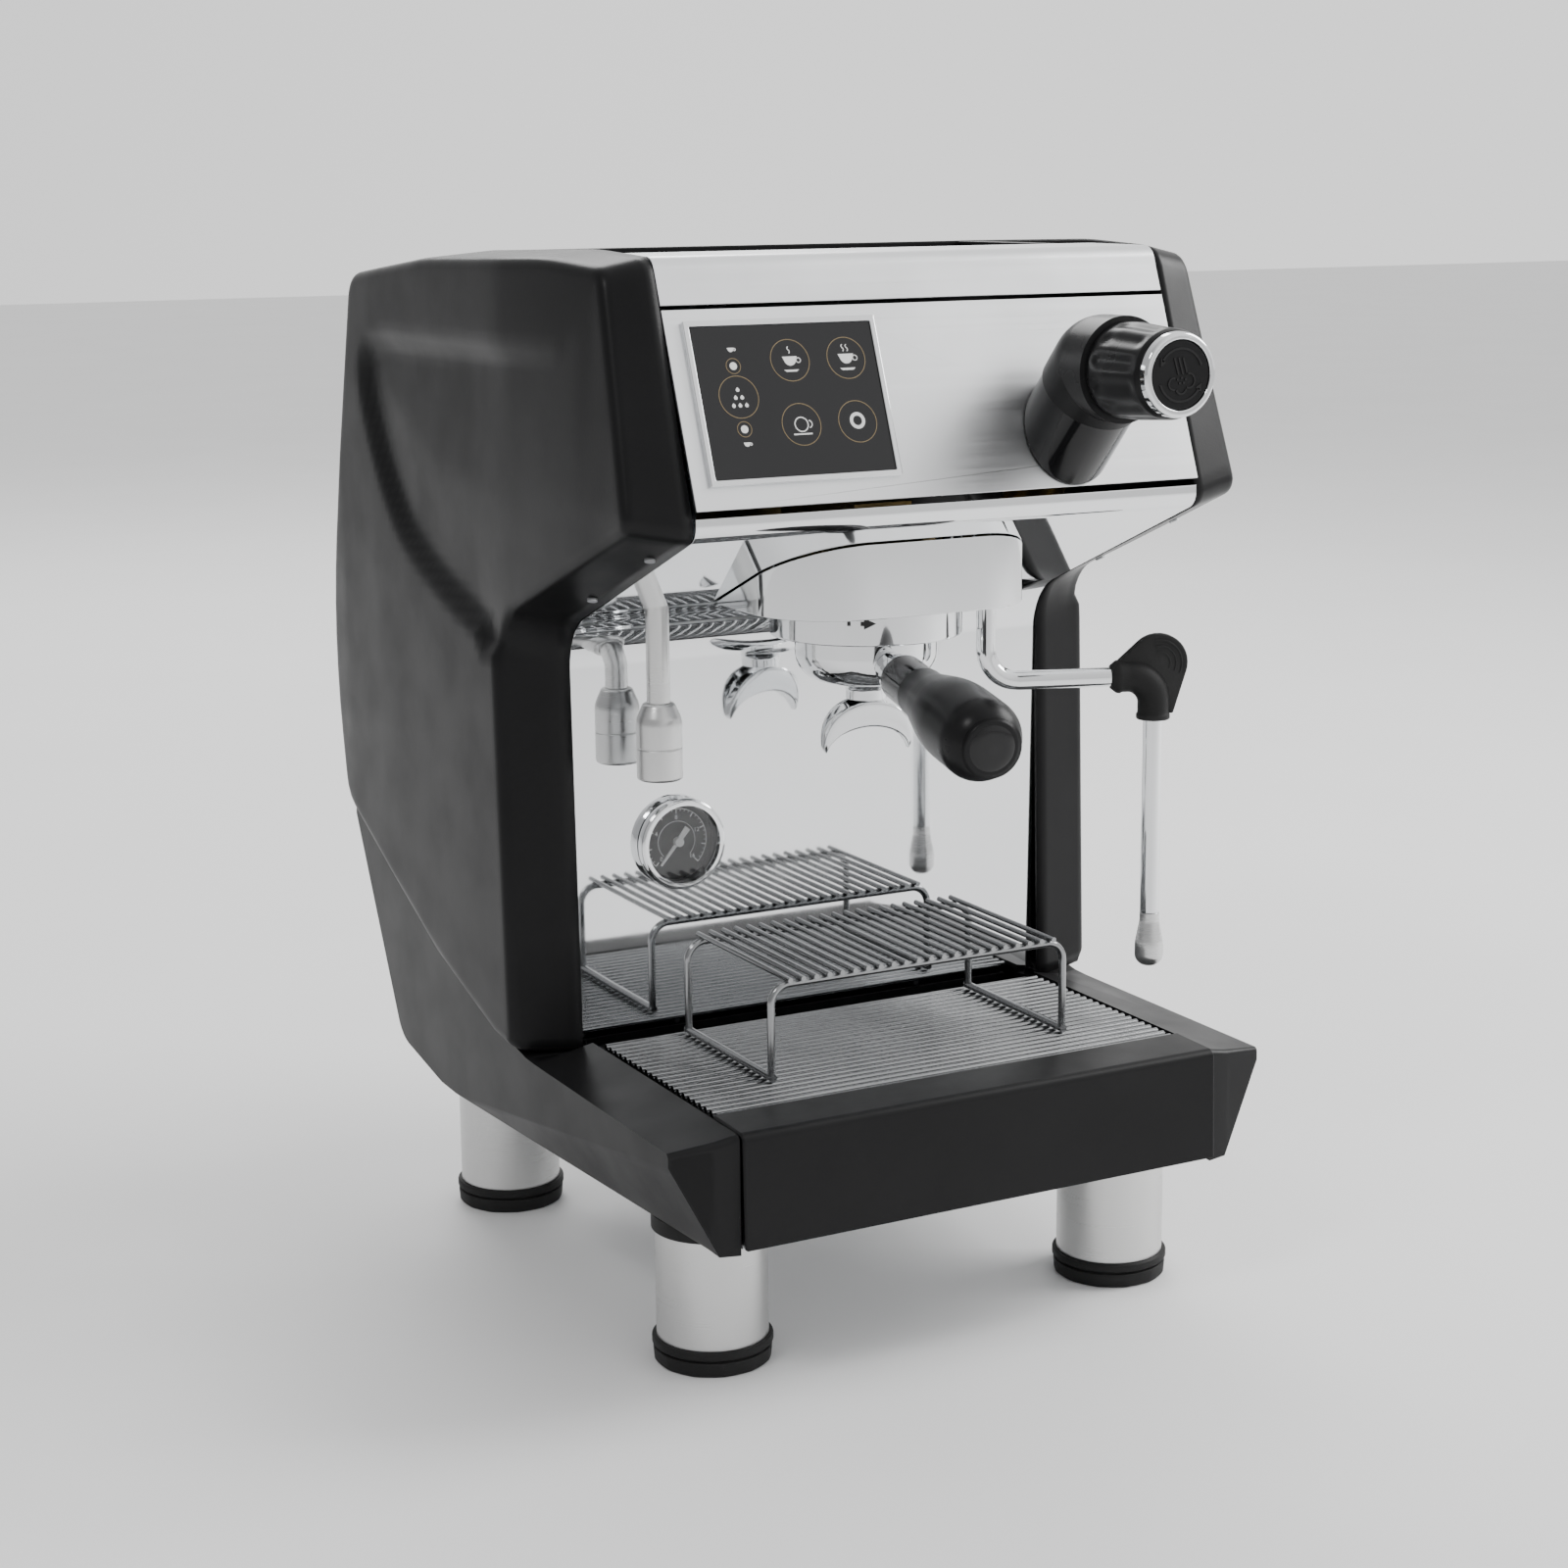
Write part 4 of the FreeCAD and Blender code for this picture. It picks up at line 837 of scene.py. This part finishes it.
# ------------------------------------------------------------------ locking arrow on the collar
COLLAR_RADIUS = 44.5
ARROW_HEADING = math.radians(-122)
ARROW_HEIGHT = 325.5
ARROW = [(-6.5, -1.0), (1.0, -1.0), (1.0, -2.6), (6.5, 0), (1.0, 2.6), (1.0, 1.0), (-6.5, 1.0)]


def collar_arrow():
    """Arrow bent round the collar that shows which way the portafilter locks."""
    verts, faces = [], []
    for lift in (MARK_SINK, 0.1):
        for a, b in ARROW:
            angle = ARROW_HEADING + a / COLLAR_RADIUS
            reach = COLLAR_RADIUS + lift
            verts.append(GROUP_CENTRE + Vector((reach * math.cos(angle), reach * math.sin(angle),
                                                ARROW_HEIGHT + b)) * MM)
    count = len(ARROW)
    faces += [tuple(range(count)), tuple(range(count, 2 * count))]
    faces += [(k, (k + 1) % count, count + (k + 1) % count, count + k) for k in range(count)]
    piece("collar_arrow", "machine", "black_gloss", verts, faces, smooth=False)


collar_arrow()

# ------------------------------------------------------------------ rubber foot pads
FEET = [(x, y) for x in (-107.3, 107.3) for y in (-112, 124.4)]
PAD_LOWER = [(0, 0), (26.6, 0, 1.6), (27.2, 7.0, 0.6), (0, 7.0)]
PAD_UPPER = [(0, 6.8), (26.0, 6.8), (26.0, 8.0), (27.4, 8.4, 0.5), (27.4, 11.9, 1.0), (0, 11.9)]


def twelve_sided(angle, radius, height):
    """Flats on a round: the reach to the side of a regular polygon with twelve sides."""
    if radius < 20:
        return radius
    step = TAU / 12
    offset = (angle % step) - step / 2
    return radius * math.cos(step / 2) / math.cos(offset) * 0.35 + radius * 0.65


def foot_pads():
    for index, (x, y) in enumerate(FEET):
        base = (x * MM, y * MM, 0)
        for label, outline, shape in (("lower", PAD_LOWER, twelve_sided), ("upper", PAD_UPPER, None)):
            line = [tuple(p) for p in rounded(outline)]
            lathe(f"pad_{label}_{index}", "machine", "rubber", line, base, (0, 0, 1),
                              96, shape)
    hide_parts("foot_pads")


foot_pads()

# ------------------------------------------------------------------ finishes of the CAD nodes
SOFT_EDGE = {"base_cover_right": 2.5, "base_cover_left": 2.5, "front_fascia": 1.0,
             "group_cover": 0.8, "cup_tray": 0.8, "tank_lid": 1.2, "panel_bezel": 0.4,
             "panel_glass": 0.2, "drip_grid": 0.0, "cup_stand": 0.0, "power_rocker": 0.8,
             "knob_base": 0.5, "knob_elbow": 0.0}
USUAL_EDGE = 0.25
for label, thing in NODES.items():
    thing.data.materials.clear()
    thing.data.materials.append(MATERIALS[SLOT_OF[label]])
    for polygon in thing.data.polygons:
        polygon.use_smooth = True
        polygon.material_index = 0
    if thing.hide_render:
        continue
    width = SOFT_EDGE.get(label, USUAL_EDGE)
    if width:
        soften(thing, width * MM)

# ------------------------------------------------------------------ floor, light and camera
FLOOR_HALF = 12
STUDIO_STRENGTH = 1.3
CAMERA_SPOT = (-0.63766, -1.19304, 0.5186)
CAMERA_YAW = 0.4848
CAMERA_PITCH = 0.2091
CAMERA_ROLL = -0.00983
CAMERA_LENS = 65.315
CAMERA_SENSOR = 36
LAMPS = (("key", (1.9, -0.5, 1.5), (0.2, 0, 0.1), (1.2, 1.0), 45),
         ("edge", (-1.6, -0.9, 2.0), (0, 0, 0.35), (0.5, 0.5), 12),
         ("back", (0.6, 2.4, 2.0), (0, 0.9, 0), (1.6, 1.0), 30))


def stage_floor():
    """Plain pale floor."""
    corners = [(a * FLOOR_HALF, b * FLOOR_HALF, 0) for a, b in ((-1, -1), (1, -1), (1, 1), (-1, 1))]
    mesh = bpy.data.meshes.new("floor")
    mesh.from_pydata(corners, [], [(0, 1, 2, 3)])
    made = bpy.data.objects.new("floor", mesh)
    bpy.context.scene.collection.objects.link(made)
    material, tree, surface, place = start("floor_paint")
    tree.links.new(tint(tree, noise(tree, place, 3, 0, 1), (0.88, 0.88, 0.88), (0.9, 0.9, 0.9)),
                   surface.inputs["Base Color"])
    tree.links.new(noise(tree, place, 8, 0.5, 0.65), surface.inputs["Roughness"])
    mesh.materials.append(material)


def sky():
    """Plain soft surround that grows gently brighter from the left to the right."""
    world = bpy.data.worlds.new("studio")
    bpy.context.scene.world = world
    world.use_nodes = True
    tree = world.node_tree
    place = add(tree, "ShaderNodeTexCoord").outputs["Generated"]
    side = add(tree, "ShaderNodeSeparateXYZ", {0: place}).outputs["X"]
    bright = add(tree, "ShaderNodeMapRange", {"Value": side, "From Min": -0.7, "From Max": 0.55},
                 interpolation_type="SMOOTHSTEP").outputs[0]
    tree.links.new(tint(tree, bright, (0.38, 0.38, 0.385), (1.0, 1.0, 1.0)),
                   tree.nodes["Background"].inputs["Color"])
    tree.nodes["Background"].inputs["Strength"].default_value = STUDIO_STRENGTH


def lamp(name, spot, target, size, power):
    """Rectangular soft light aimed at a point."""
    data = bpy.data.lights.new(name, "AREA")
    data.shape = "RECTANGLE"
    data.size, data.size_y = size
    data.energy = power
    made = bpy.data.objects.new(name, data)
    bpy.context.scene.collection.objects.link(made)
    made.location = spot
    made.rotation_mode = "QUATERNION"
    made.rotation_quaternion = (Vector(target) - Vector(spot)).to_track_quat("-Z", "Y")


def camera():
    """Camera at the height and bearing from which the machine is looked at."""
    level = Vector((math.sin(CAMERA_YAW), math.cos(CAMERA_YAW), 0)) * math.cos(CAMERA_PITCH)
    ahead = level - Vector((0, 0, math.sin(CAMERA_PITCH)))
    right = Vector((math.cos(CAMERA_YAW), -math.sin(CAMERA_YAW), 0))
    up = right.cross(ahead)
    turned_right = right * math.cos(CAMERA_ROLL) + up * math.sin(CAMERA_ROLL)
    turned_up = up * math.cos(CAMERA_ROLL) - right * math.sin(CAMERA_ROLL)
    data = bpy.data.cameras.new("camera")
    data.lens = CAMERA_LENS
    data.sensor_width = CAMERA_SENSOR
    data.clip_start = 0.05
    data.clip_end = 60
    made = bpy.data.objects.new("camera", data)
    bpy.context.scene.collection.objects.link(made)
    turn = Matrix((turned_right, turned_up, -ahead)).transposed().to_4x4()
    made.matrix_world = Matrix.Translation(CAMERA_SPOT) @ turn
    bpy.context.scene.camera = made


stage_floor()
sky()
for lamp_values in LAMPS:
    lamp(*lamp_values)
camera()

bpy.context.view_layer.update()
